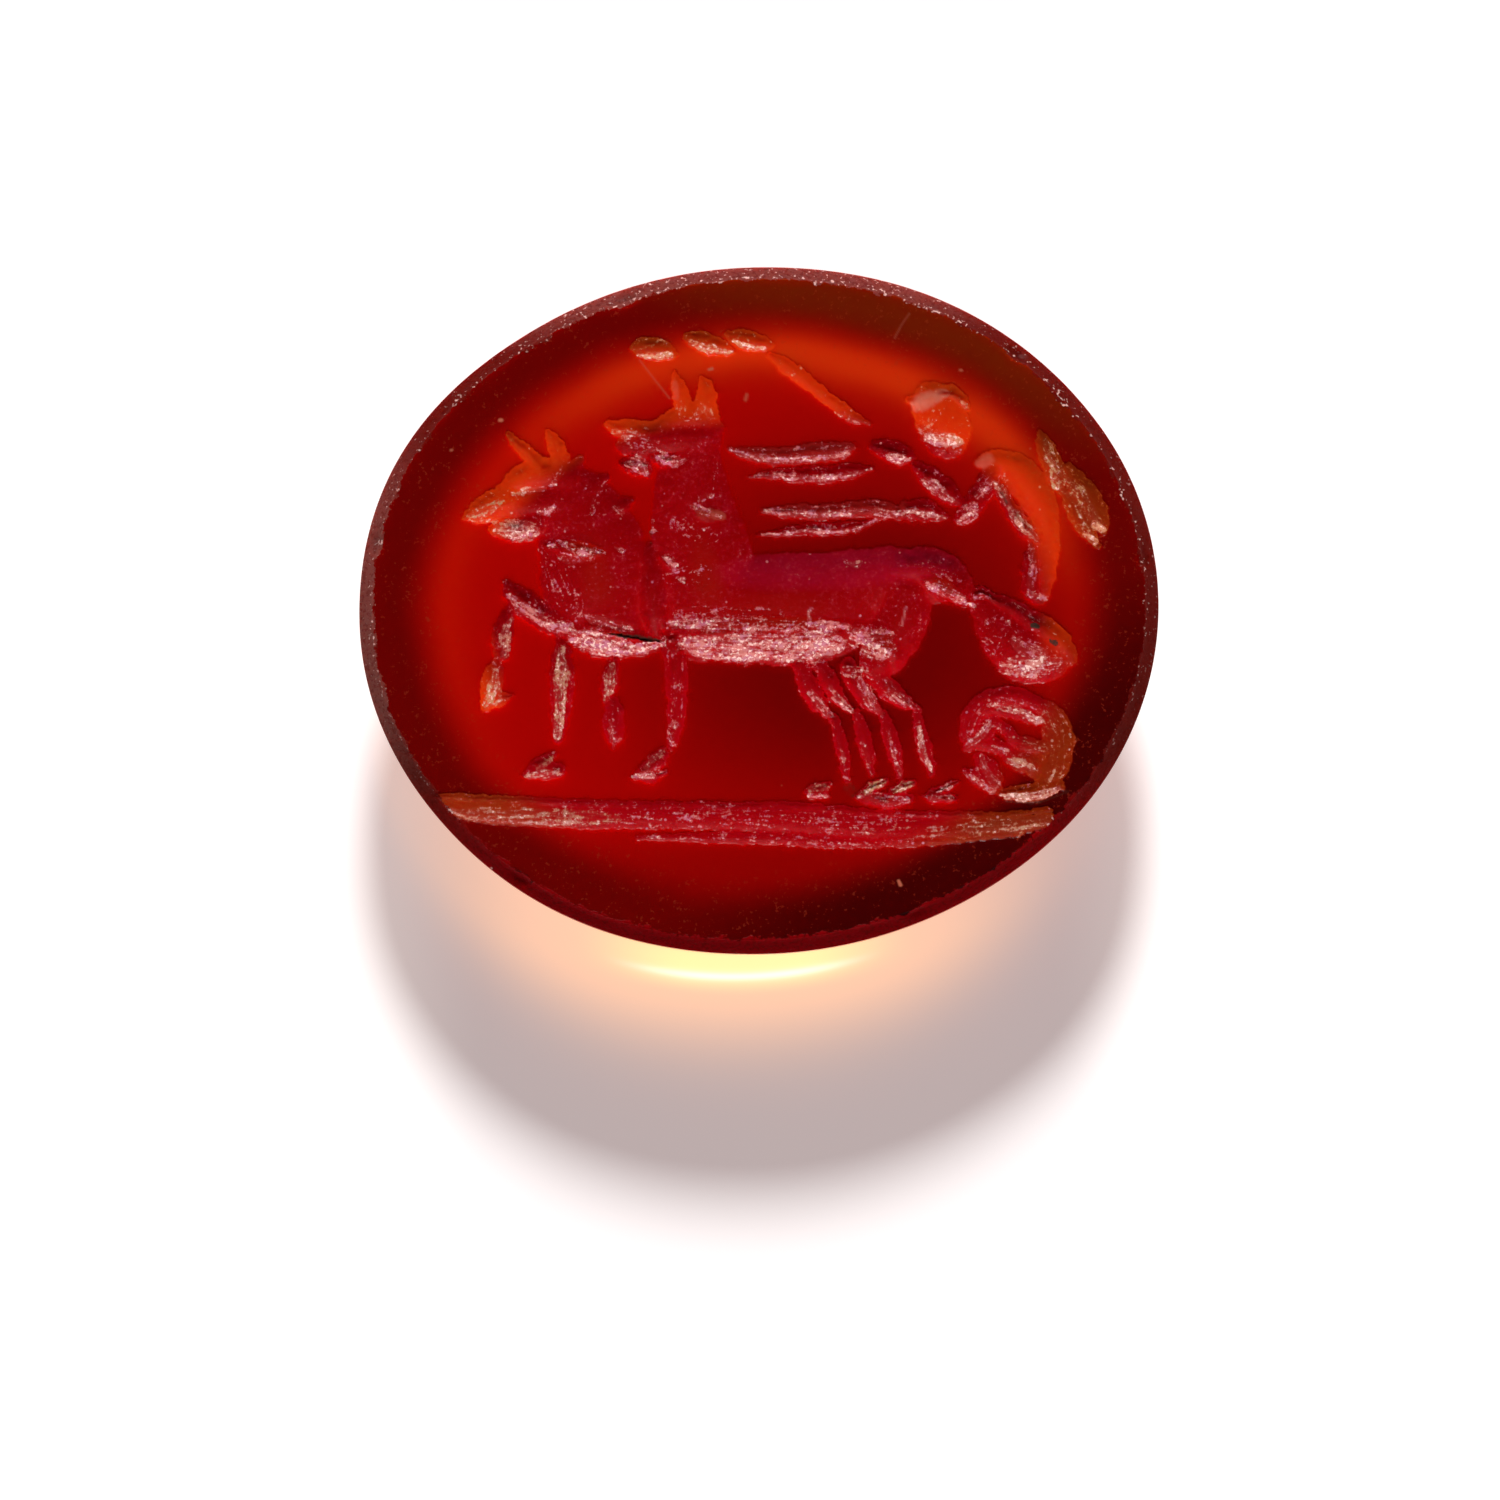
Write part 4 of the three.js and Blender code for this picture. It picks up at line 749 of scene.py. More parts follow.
        (0.498, -0.51, 0.007), (0.52, -0.525, 0.009), (0.55, -0.55, 0.013), (0.572, -0.552, 0.009)]),
    "wheel middle spoke": (0.65, 0.1, [(0.565, -0.43, 0.009), (0.602, -0.446, 0.007)]),
    "wheel side": (0.46, 0.8, [
        (0.712, -0.35, 0.024), (0.733, -0.41, 0.037), (0.728, -0.48, 0.037), (0.708, -0.54, 0.027)]),
    "wheel foot": (1.1, 0.6, [
        (0.585, -0.575, 0.007), (0.63, -0.582, 0.012), (0.68, -0.577, 0.014), (0.725, -0.565, 0.012)]),
    "hub": (0.75, 0.6, [(0.608, -0.475, 0.01), (0.635, -0.48, 0.016), (0.662, -0.497, 0.013)]),
    "hub edge": (0.95, 0.1, [(0.638, -0.456, 0.005), (0.668, -0.451, 0.007)]),
    "hub right": (0.5, 0.6, [(0.62, -0.41, 0.012), (0.66, -0.43, 0.018), (0.695, -0.445, 0.015)]),
}

# Smooth pale places, and dark dirt left in the cuts: how strongly, and the run.
hazes = {
    "cap": (1, [(0.412, 0.57, 0.012), (0.428, 0.58, 0.022), (0.455, 0.593, 0.019), (0.49, 0.603, 0.01)]),
    "shoulder": (0.5, [(0.572, 0.395, 0.014), (0.59, 0.405, 0.016)]),
    "rear ear": (0.25, [(-0.185, 0.67, 0.007), (-0.182, 0.63, 0.009)]),
    "neck scar": (0.3, [(-0.13, 0.29, 0.014), (-0.08, 0.277, 0.01)]),
    "reins": (0.06, [(-0.05, 0.48, 0.02), (0.05, 0.45, 0.03), (0.24, 0.45, 0.03)]),
    "low reins": (0.05, [(0.03, 0.29, 0.02), (0.2, 0.28, 0.03), (0.36, 0.275, 0.025)]),
}
dirt = {
    "front limb": (0.5, [(0.616, 0.31, 0.003), (0.626, 0.293, 0.005), (0.634, 0.275, 0.003)]),
    "limb low": (0.45, [(0.652, 0.232, 0.002), (0.66, 0.215, 0.003)]),
    "tail": (0.9, [(0.684, -0.08, 0.006), (0.694, -0.088, 0.008)]),
    "tail low": (0.7, [(0.722, -0.125, 0.004), (0.737, -0.137, 0.007)]),
    "belly line": (0.62, [(-0.38, -0.048, 0.002), (-0.33, -0.062, 0.0035), (-0.25, -0.08, 0.003)]),
    "seam": (0.42, [(-0.262, 0.24, 0.002), (-0.263, 0.215, 0.003), (-0.262, 0.19, 0.002)]),
    "belly edge": (0.5, [(-0.345, -0.055, 0.006), (-0.3, -0.066, 0.007), (-0.26, -0.075, 0.004)]),
    "rear belly": (0.5, [(-0.06, -0.066, 0.003), (-0.02, -0.07, 0.003)]),
    "between hooves": (0.35, [(0.205, -0.53, 0.02), (0.215, -0.55, 0.02)]),
    "under wheel": (0.4, [(0.6, -0.595, 0.006), (0.68, -0.597, 0.006), (0.75, -0.57, 0.004)]),
    "muzzle": (0.3, [(-0.69, 0.315, 0.01), (-0.67, 0.325, 0.01)]),
    "first leg": (0.35, [(-0.5, -0.17, 0.008), (-0.508, -0.24, 0.008)]),
}

# Fine marks on the polished face itself: how pale, how deep in mm, and the run.
scratches = {
    "long": (0.3, 0.004, [(-0.27, 0.74, 0.002), (-0.24, 0.69, 0.002), (-0.2, 0.625, 0.002)]),
    "top right": (0.25, 0.004, [(0.37, 0.77, 0.002), (0.39, 0.81, 0.002), (0.41, 0.84, 0.002)]),
    "curl": (0.8, 0.006, [(0.126, -0.035, 0.003), (0.124, -0.015, 0.003), (0.132, -0.003, 0.003)]),
    "right curl": (0.5, 0.006, [(0.355, -0.065, 0.003), (0.362, -0.035, 0.003), (0.368, -0.01, 0.003)]),
    "left pip": (1.4, 0, [(-0.626, 0.583, 0.005), (-0.622, 0.583, 0.005)]),
    "low pip": (1.5, 0, [(0.317, -0.808, 0.004), (0.321, -0.82, 0.005)]),
    "top pip": (0.9, 0, [(-0.098, 0.703, 0.004), (-0.09, 0.705, 0.005)]),
    "middle pips": (0.5, 0, [(-0.01, 0.61, 0.005), (-0.006, 0.625, 0.005)]),
    "left side pip": (0.7, 0, [(-0.752, 0.502, 0.004), (-0.749, 0.502, 0.004)]),
    "right pip": (0.7, 0, [(0.53, 0.668, 0.004), (0.534, 0.668, 0.004)]),
}

# The blank: its rings of faces lie at these shares of the bevel, the girdle and so on down.
stone = {
    "bevelWidth": 0.22 * mm,
    "bevelDrop": 0.2 * mm,
    "girdleHeight": 0.35 * mm,
    "backInset": 1.2 * mm,
    "backEdgeRadius": 0.15 * mm,
    "outlineWander": 0.07 * mm,
    "wanderShares": [0, 0.2, 0.6, 0, -0.1, 0.9, 0, -0.2, 0.5, 0, -0.3, 0.1],   # every 30 degrees
    "bevelShares": [0.12, 0.35, 0.6, 0.85, 1],
    "girdleShares": [0.3, 0.65, 1],
    "flankShares": [0.04, 0.15, 0.3, 0.45, 0.6, 0.75, 0.9, 1],
    "backEdgeShares": [0.6, 0.3, 0],
    "backShares": [0.75, 0.5, 0.25],
    "rimSteps": 112,
    "finerSteps": 4,                    # each face of the first mesh is split this many ways
    "nearCuts": [0.11 * mm, 0.04 * mm],     # faces this near a cut are split, then split again
    "smoothAngle": math.radians(35),
}
# What the cutting wheels leave.
tool = {
    "depthShare": 0.55,                 # how much of the depths in the tables of cuts is carved
    "curveSteps": 8,
    "finestHalfWidth": 0.02 * mm,
    "reach": 0.1 * mm,                  # how far past its half width a run is looked for
    "ragged": 0.021 * mm,               # how far a cut's edge strays
    "raggedCells": (0.11 * mm, 0.05 * mm),
    "raggedFineShare": 0.7,
    "roundFrom": 0.12 * mm,             # cuts deeper than this are round in section
    "shallowPower": 0.8,                # and others are flatter
    "widthPower": 0.8,                  # how much shallower a cut is where it is narrower
    "lean": 0.15,                       # cuts are deeper on their north side
    "marks": 0.008 * mm,
    "markCell": 0.045 * mm,
    "markShare": 0.4,
    "lineCell": 0.05 * mm,              # lines left by the tool, along the cut
    "lineStretch": 9,
    "blend": 0.05 * mm,                 # how softly two cuts run together
    "leastFrost": 0.04,                 # where a table says no frost
    "frostGain": 0.22,                  # and how much full frost adds
    "fullDepth": 0.03 * mm,             # a place this deep counts fully as cut
    "pits": 0.004 * mm,
    "pitCell": 0.05 * mm,
    "pitLeast": 0.3,
    "scratchReach": 0.05 * mm,
    "scratchEdgeShare": 1.2,
}
# How frosting, haze and dirt lie in the cuts.
grains = {
    "edgeShare": 1.25,                  # frosting ends this far out, as a share of the half width
    "fadeShare": 0.7,                   # and fades over this much of it
    "stretch": 6,                       # grains are this much longer along the stroke
    "shift": (1.7, 0.9),                # along and aside, so that no two strokes look the same
}
halfLength = (stoneHigh.x - stoneLow.x) / 2
halfWidth = (stoneHigh.y - stoneLow.y) / 2
thickness = stoneHigh.z - stoneLow.z
faceRadius = halfWidth - stone["bevelWidth"]
drawnOut = halfLength - halfWidth


def randomField(x, y, cell, seed):
    # a smooth random value from -1 to 1, with features about one cell across
    size = 256
    table = np.random.default_rng(seed).uniform(-1, 1, (size, size))
    column = np.floor(x / cell).astype(int)
    row = np.floor(y / cell).astype(int)
    alongX = x / cell - column
    alongY = y / cell - row
    alongX = alongX * alongX * (3 - 2 * alongX)
    alongY = alongY * alongY * (3 - 2 * alongY)
    nextColumn = (column + 1) % size
    nextRow = (row + 1) % size
    column = column % size
    row = row % size
    near = table[column, row] * (1 - alongX) + table[nextColumn, row] * alongX
    far = table[column, nextRow] * (1 - alongX) + table[nextColumn, nextRow] * alongX
    return near * (1 - alongY) + far * alongY


def twoSizes(x, y, cells, fineShare, seed):
    # large random features, with finer ones on top
    return randomField(x, y, cells[0], seed) + fineShare * randomField(x, y, cells[1], seed + 1)


def smoothRun(run):
    # a Catmull-Rom curve through a cut's places, with its half width as the third value
    knots = np.array(run) * (halfLength, halfWidth, halfLength)
    padded = np.vstack([2 * knots[0] - knots[1], knots, 2 * knots[-1] - knots[-2]])
    points = []
    for index in range(len(knots) - 1):
        a, b, c, d = padded[index:index + 4]
        for step in range(tool["curveSteps"]):
            t = step / tool["curveSteps"]
            points.append(0.5 * (2 * b + (c - a) * t + (2 * a - 5 * b + 4 * c - d) * t ** 2
                                 + (3 * b - a - 3 * c + d) * t ** 3))
    points.append(knots[-1])
    points = np.array(points)
    points[:, 2] = np.maximum(points[:, 2], tool["finestHalfWidth"])
    return points


def measureCut(points, x, y):
    # for each place: how far aside it is as a share of the half width, the half width, how far
    # along and aside it is, and how much the cut's left side faces north there
    best = np.full(len(x), np.inf)
    half = np.zeros(len(x))
    along = np.zeros(len(x))
    aside = np.zeros(len(x))
    north = np.zeros(len(x))
    travelled = 0
    for start, end in zip(points[:-1], points[1:]):
        step = end - start
        length = max(math.hypot(step[0], step[1]), tiny)
        share = ((x - start[0]) * step[0] + (y - start[1]) * step[1]) / length ** 2
        share = np.clip(share, 0, 1)
        gapX = x - start[0] - share * step[0]
        gapY = y - start[1] - share * step[1]
        width = start[2] + share * step[2]
        side = np.sign(step[0] * gapY - step[1] * gapX)
        gap = np.hypot(gapX, gapY)
        closer = gap / width < best
        best = np.where(closer, gap / width, best)
        half = np.where(closer, width, half)
        along = np.where(closer, travelled + share * length, along)
        aside = np.where(closer, gap * side, aside)
        north = np.where(closer, step[0] / length, north)
        travelled += length
    return best, half, along, aside, north


cutRuns = []
for figure in (frontHorse, rearHorse, driver, lines, wheel):
    for deep, frosted, run in figure.values():
        cutRuns.append((deep * tool["depthShare"] * mm, frosted, smoothRun(run)))
passRuns = [(deep * mm, frosted, smoothRun(run)) for deep, frosted, run in passes.values()]
scratchRuns = [(deep * mm, pale, smoothRun(run)) for pale, deep, run in scratches.values()]


def placesNear(points, x, y, reach):
    margin = points[:, 2].max() + reach
    inside = ((x > points[:, 0].min() - margin) & (x < points[:, 0].max() + margin)
              & (y > points[:, 1].min() - margin) & (y < points[:, 1].max() + margin))
    return np.flatnonzero(inside)


def nearAnyCut(x, y, reach):
    near = np.zeros(len(x), bool)
    for deep, frosted, points in cutRuns + scratchRuns:
        chosen = placesNear(points, x, y, reach)
        if len(chosen) > 0:
            share, half, along, aside, north = measureCut(points, x[chosen], y[chosen])
            near[chosen] |= (share - 1) * half < reach
    return near


def raggedAt(x, y):
    return tool["ragged"] * twoSizes(x, y, tool["raggedCells"], tool["raggedFineShare"], 11)


def cutShare(depth):
    return np.clip(depth / tool["fullDepth"], 0, 1)


def carve(x, y):
    # depth of the engraving at each place of the face, and how frosted it is there
    depth = np.zeros(len(x))
    frost = np.zeros(len(x))
    ragged = raggedAt(x, y)
    for number, (deep, frosted, points) in enumerate(cutRuns + passRuns):
        chosen = placesNear(points, x, y, tool["reach"])
        if len(chosen) == 0:
            continue
        share, half, along, aside, north = measureCut(points, x[chosen], y[chosen])
        share = np.clip(share + ragged[chosen] / half, 0, None)
        side = np.clip(north * aside / half, -1, 1)
        section = np.clip(1 - share ** 2, 0, 1) ** (1 if deep > tool["roundFrom"] else tool["shallowPower"])
        narrowed = (half / points[:, 2].max()) ** tool["widthPower"]
        cutDepth = deep * narrowed * section * (1 + tool["lean"] * side)
        marks = randomField(along, aside, tool["markCell"], 100 + number) * tool["markShare"]
        marks += randomField(along / tool["lineStretch"], aside, tool["lineCell"], 200 + number)
        cutDepth += tool["marks"] * frosted * marks * section
        already = depth[chosen]
        if number >= len(cutRuns):
            depth[chosen] += np.where(already > 0, np.maximum(cutDepth, 0), 0)
            continue
        blendOver = np.minimum(tool["blend"], np.minimum(cutDepth, already)) + tiny
        mixed = np.clip(0.5 + 0.5 * (cutDepth - already) / blendOver, 0, 1)
        ground = (tool["leastFrost"] + tool["frostGain"] * frosted) * mixed + frost[chosen] * (1 - mixed)
        united = cutDepth * mixed + already * (1 - mixed) + blendOver * mixed * (1 - mixed)
        frost[chosen] = np.where(cutDepth > 0, ground, frost[chosen])
        depth[chosen] = np.where(cutDepth > 0, united, already)
    inCut = cutShare(depth)
    depth += tool["pits"] * inCut * (tool["pitLeast"] + frost) * randomField(x, y, tool["pitCell"], 21)
    return np.maximum(depth, 0), frost * inCut


def layOn(runs, x, y):
    # how strongly the runs cover each place, a second value, and the place along and aside of them
    cover = np.zeros(len(x))
    second = np.zeros(len(x))
    drawn = np.column_stack([x / mm, y / mm])
    ragged = raggedAt(x, y)
    for number, (strength, other, places) in enumerate(runs):
        points = smoothRun(places)
        chosen = placesNear(points, x, y, tool["reach"])
        if len(chosen) == 0:
            continue
        share, half, along, aside, north = measureCut(points, x[chosen], y[chosen])
        share = share + ragged[chosen] / half
        fade = np.clip((grains["edgeShare"] - share) / grains["fadeShare"], 0, 1)
        here = strength * fade * fade * (3 - 2 * fade)
        stronger = here > cover[chosen]
        winning = chosen[stronger]
        cover[winning] = here[stronger]
        second[winning] = other
        drawn[winning, 0] = along[stronger] / mm / grains["stretch"] + number * grains["shift"][0]
        drawn[winning, 1] = aside[stronger] / mm + number * grains["shift"][1]
    return cover, second, drawn


def wanderAt(angle):
    # how far the outline, ground by hand, stands out of the true oval
    shares = np.array(stone["wanderShares"])
    place = (angle / (2 * math.pi) + 1) * len(shares)
    before = np.floor(place).astype(int)
    ease = (1 - np.cos(math.pi * (place - before))) / 2
    value = shares[before % len(shares)] * (1 - ease) + shares[(before + 1) % len(shares)] * ease
    return stone["outlineWander"] * value


def onOval(angle, radius):
    stand = wanderAt(angle)
    return (radius + drawnOut + stand) * np.cos(angle), (radius + stand) * np.sin(angle)


def readPlaces(mesh):
    values = np.empty(len(mesh.vertices) * 3)
    mesh.vertices.foreach_get("co", values)
    return values.reshape(-1, 3)


def writePlaces(mesh, places):
    mesh.vertices.foreach_set("co", places.ravel())
    mesh.update()


# The face starts as a disc of squares, drawn out to the oval.
bpy.ops.object.select_all(action="DESELECT")
bpy.ops.mesh.primitive_circle_add(vertices=stone["rimSteps"], radius=1, location=(0, 0, 0))
gem = bpy.context.object
gem.name = "engravedStone"
gem.data.name = "engravedStone"
bpy.ops.object.mode_set(mode="EDIT")
bpy.ops.mesh.select_all(action="SELECT")
bpy.ops.mesh.fill_grid(span=stone["rimSteps"] // 4)
bpy.ops.mesh.select_all(action="SELECT")
bpy.ops.mesh.subdivide(number_cuts=stone["finerSteps"] - 1, smoothness=0)
bpy.ops.object.mode_set(mode="OBJECT")
places = readPlaces(gem.data)
angle = np.arctan2(places[:, 1], places[:, 0])
radius = np.hypot(places[:, 0], places[:, 1])
step = 2 * math.pi / stone["rimSteps"]
chord = math.cos(step / 2) / np.cos(np.mod(angle, step) - step / 2)
share = np.minimum(radius / chord, 1)
edgeX, edgeY = onOval(angle, faceRadius)
writePlaces(gem.data, np.column_stack([edgeX * share, edgeY * share, np.zeros(len(places))]))

# Squares near the cuts are split again, so that a fine cut is many faces wide.
for reach in stone["nearCuts"]:
    middles = np.empty(len(gem.data.polygons) * 3)
    gem.data.polygons.foreach_get("center", middles)
    middles = middles.reshape(-1, 3)
    chosen = nearAnyCut(middles[:, 0], middles[:, 1], reach)
    bpy.ops.object.mode_set(mode="EDIT")
    bpy.ops.mesh.select_mode(type="FACE")
    bpy.ops.mesh.select_all(action="DESELECT")
    bpy.ops.object.mode_set(mode="OBJECT")
    gem.data.polygons.foreach_set("select", chosen)
    gem.data.update()
    bpy.ops.object.mode_set(mode="EDIT")
    bpy.ops.mesh.subdivide(number_cuts=1, smoothness=0)
    bpy.ops.object.mode_set(mode="OBJECT")
    print("face has", len(gem.data.polygons), "faces")

# The rest of the stone grows out of the face's edge, ring by ring, down to the back.
girdleTop = thickness - stone["bevelDrop"]
flankTop = girdleTop - stone["girdleHeight"]
slope = math.atan2(flankTop, stone["backInset"])
backRadius = halfWidth - stone["backInset"]
tangent = stone["backEdgeRadius"] * math.tan(slope / 2)
profile = []
for share in stone["bevelShares"]:
    profile.append((faceRadius + stone["bevelWidth"] * share, thickness - stone["bevelDrop"] * share))
for share in stone["girdleShares"]:
    profile.append((halfWidth, girdleTop - stone["girdleHeight"] * share))
backStart = backRadius - tangent
edgeRadius = backStart + stone["backEdgeRadius"] * math.sin(slope)
edgeHeight = stone["backEdgeRadius"] * (1 - math.cos(slope))
for share in stone["flankShares"]:
    drawnIn = halfWidth + (edgeRadius - halfWidth) * share
    profile.append((drawnIn, flankTop + (edgeHeight - flankTop) * share))
for share in stone["backEdgeShares"]:
    turn = slope * share
    profile.append((backStart + stone["backEdgeRadius"] * math.sin(turn),
                    stone["backEdgeRadius"] * (1 - math.cos(turn))))
for share in stone["backShares"]:
    profile.append((backStart * share, 0))

ringDrop = 1 * mm   # each ring is drawn this far down first, so that its height tells its number
bpy.ops.object.mode_set(mode="EDIT")
bpy.ops.mesh.select_mode(type="EDGE")
bpy.ops.mesh.select_all(action="DESELECT")
bpy.ops.mesh.select_non_manifold(extend=False)
for ring in profile:
    bpy.ops.mesh.extrude_region_move(TRANSFORM_OT_translate={"value": (0, 0, -ringDrop)})
bpy.ops.mesh.extrude_region_move(TRANSFORM_OT_translate={"value": (0, 0, -ringDrop)})
bpy.ops.mesh.merge(type="CENTER")
bpy.ops.mesh.select_all(action="SELECT")
bpy.ops.mesh.normals_make_consistent(inside=False)
bpy.ops.object.mode_set(mode="OBJECT")

places = readPlaces(gem.data)
ring = np.rint(-places[:, 2] / ringDrop).astype(int)
angle = np.arctan2(places[:, 1] / faceRadius, places[:, 0] / (faceRadius + drawnOut))
onFace = ring == 0
for index, (radius, height) in enumerate(profile, start=1):
    here = ring == index
    edgeX, edgeY = onOval(angle[here], radius)
    places[here] = np.column_stack([edgeX, edgeY, np.full(here.sum(), height)])
places[ring == len(profile) + 1] = (0, 0, 0)
faceX = places[onFace, 0]
faceY = places[onFace, 1]
depth, frost = carve(faceX, faceY)
inCut = cutShare(depth)
cover, dusty, drawn = layOn(frosting.values(), faceX, faceY)
hazy = layOn([(strength, 0, run) for strength, run in hazes.values()], faceX, faceY)[0]
dirty = layOn([(strength, 0, run) for strength, run in dirt.values()], faceX, faceY)[0]
scored = np.zeros(len(faceX))
for deep, pale, points in scratchRuns:
    chosen = placesNear(points, faceX, faceY, tool["scratchReach"])
    share = measureCut(points, faceX[chosen], faceY[chosen])[0]
    line = np.clip(tool["scratchEdgeShare"] - share, 0, 1)
    scored[chosen] = np.maximum(scored[chosen], pale * line)
    depth[chosen] += deep * line
places[onFace, 2] = thickness - depth
places[:, 2] += stoneLow.z

lookOf = {}
for name in ("cut", "frost", "dust", "haze", "dirt", "scratch", "rim"):
    lookOf[name] = np.zeros(len(places))
lookOf["cut"][onFace] = inCut
lookOf["frost"][onFace] = np.maximum(frost, cover * inCut)
lookOf["dust"][onFace] = dusty * np.clip(cover * 2, 0, 1)
lookOf["haze"][onFace] = hazy * inCut
lookOf["dirt"][onFace] = dirty
lookOf["scratch"][onFace] = scored
edgeX, edgeY = onOval(angle[onFace], faceRadius)
inside = np.hypot(edgeX, edgeY) - np.hypot(faceX, faceY)
lookOf["rim"][onFace] = np.clip(1 - inside / stone["bevelWidth"], 0, 1)     # 1 at the face's edge
lastBevelRing = len(stone["bevelShares"])
bevel = (ring > 0) & (ring <= lastBevelRing)
lookOf["rim"][bevel] = 1 + np.array(stone["bevelShares"])[ring[bevel] - 1]  # and 2 at the girdle
strokePlace = np.column_stack([places[:, 0] / mm, places[:, 1] / mm, np.zeros(len(places))])
strokePlace[onFace, :2] = drawn

# Chips along the rim.
chips = {
    "radius": 0.16 * mm,
    "stretch": 1.8,
    "places": [   # share of a turn, size
        (0.015, 0.8), (0.13, 1), (0.17, 0.7), (0.235, 0.6), (0.3, 1.1), (0.39, 0.7), (0.46, 0.9),
        (0.56, 0.6), (0.64, 0.9), (0.81, 0.7), (0.9, 0.6)],
    "roundness": 0.7,
    "brokenRim": 1.2,                   # a struck place has at least this much of the rim's look
    "zoneShare": 0.9,                   # no place nearer the middle than this is struck
    "nibble": 0.02 * mm,                # small unevenness all along the bevel
    "nibbleCells": (0.17 * mm, 0.08 * mm),
    "nibbleFineShare": 0.6,
}
outShare = np.hypot(places[:, 0] / halfLength, places[:, 1] / halfWidth)
upperRim = (ring <= lastBevelRing + 1) & (outShare > chips["zoneShare"])
for turnShare, size in chips["places"]:
    chipAngle = 2 * math.pi * turnShare
    middleX, middleY = onOval(np.array([chipAngle]), halfWidth - stone["bevelWidth"] / 2)
    gapX = places[:, 0] - middleX
    gapY = places[:, 1] - middleY
    alongRim = -gapX * math.sin(chipAngle) + gapY * math.cos(chipAngle)
    outward = gapX * math.cos(chipAngle) + gapY * math.sin(chipAngle)
    reach = chips["radius"] * size
    share = np.hypot(alongRim / (reach * chips["stretch"]), outward / reach)
    drop = reach * np.clip(1 - share ** 2, 0, 1) ** chips["roundness"]
    target = stoneHigh.z - drop
    struck = upperRim & (drop > 0) & (places[:, 2] > target)
    places[struck, 2] = target[struck]
    lookOf["rim"][struck] = np.maximum(lookOf["rim"][struck], chips["brokenRim"])
rough = twoSizes(places[:, 0], places[:, 1], chips["nibbleCells"], chips["nibbleFineShare"], 31)
places[bevel, 2] -= chips["nibble"] * np.abs(rough[bevel])
writePlaces(gem.data, places)

for name, values in lookOf.items():
    layer = gem.data.attributes.new(name, "FLOAT", "POINT")
    layer.data.foreach_set("value", values.astype(np.float32))
layer = gem.data.attributes.new("strokePlace", "FLOAT_VECTOR", "POINT")
layer.data.foreach_set("vector", strokePlace.ravel().astype(np.float32))

bpy.ops.object.select_all(action="DESELECT")
gem.select_set(True)
bpy.context.view_layer.objects.active = gem
bpy.ops.object.shade_smooth_by_angle(angle=stone["smoothAngle"])
triangles = sum(len(polygon.vertices) - 2 for polygon in gem.data.polygons)
print("stone carved,", triangles, "triangles")

# carnelian

carnelian = {
    # the field's own red, with painted light and shade: a dark heart, bright rings of light and dark outer
    # bands
    "heart": rgb(113, 0, 0),
    "red": rgb(172, 1, 0),
    "sideLightRing": rgb(183, 12, 0),
    "topLightRing": rgb(203, 44, 5),
    "band": rgb(107, 1, 0),
    "lowShadedBand": rgb(68, 0, 0),
    "olive": rgb(112, 26, 1),
    "crimson": rgb(151, 0, 6),
    "lowCrimson": rgb(169, 2, 13),
    "sheen": rgb(172, 10, 38),
    # painted light: cuts over the bright ring of light
    "cutOrange": rgb(214, 48, 6),
    "cutOlive": rgb(142, 35, 5),
    "cutTawny": rgb(160, 42, 12),
    "grain": rgb(182, 34, 44),
    "bloom": rgb(198, 84, 86),
    "warmBloom": rgb(216, 112, 82),
    "frost": rgb(200, 108, 106),
    "lilacFrost": rgb(186, 98, 122),
    "creamFrost": rgb(206, 128, 92),
    "dust": rgb(178, 138, 98),
    "haze": rgb(216, 104, 82),
    "dirt": rgb(66, 40, 32),
    "motes": rgb(170, 84, 60),
    # the bevel's mauve is partly a painted highlight, its brighter low red a painted glow
    "bevel": rgb(94, 17, 12),
    "bevelMauve": rgb(122, 60, 54),
    "bevelDark": rgb(84, 6, 3),
    "fieldDust": rgb(150, 44, 26),
    "amber": rgb(182, 68, 24),
    "bevelLowGlow": rgb(136, 2, 6),
    "sparkle": rgb(236, 190, 180),
    "flank": rgb(150, 14, 5),
    # painted light: the brighter orange low on the stone, where light comes out through it
    "back": rgb(178, 36, 9),
    "facingTint": (0.6, 0.15, 0.15, 1),     # painted shade: takes light from walls turned to the key
    "facingFrostTint": (0.5, 0.35, 0.35, 1),
    "shadeTint": (0.4, 0.9, 0.9, 1),    # tints the painted glow of walls turned away
    "unlit": (0, 0, 0, 1),
    "glowShare": 0.68,
    "cloudScale": 0.35,                 # a pattern's scale is how many of its grains fit in a mm
    "clumpScale": 3.5,
    "fineScale": 17,
    "strokeScale": 14,
    "tintScale": 8,
    "glintScale": 19,
    "glitterScale": 16,
    "speckScale": 4.2,
    "faceHeights": (2.98, 3.02),        # in mm, where the look of a piece of the stone takes over
    "flankHeights": (2.93, 3.0),
    "backHeights": (0.2, 2.6),
    "grainDepth": 0.02 * mm,
    "grainStrength": 0.7,
    "refraction": 1.54,
    "roughness": 0.16,
    "cutRoughness": 0.34,               # more in the cuts, and on the bevel
    "bevelRoughness": 0.2,
    "frostRoughness": 0.5,
    "polishRoughness": 0.12,
    "shine": 0.02,                      # of the stone under its polish
    "frostShine": 0.15,
    "depthWeight": 0.9,                 # how much of the light goes in and comes out again
    "lightSpread": (1.0, 0.15, 0.1),    # red light goes farthest in the stone
    "lightReach": 0.8 * mm,
}

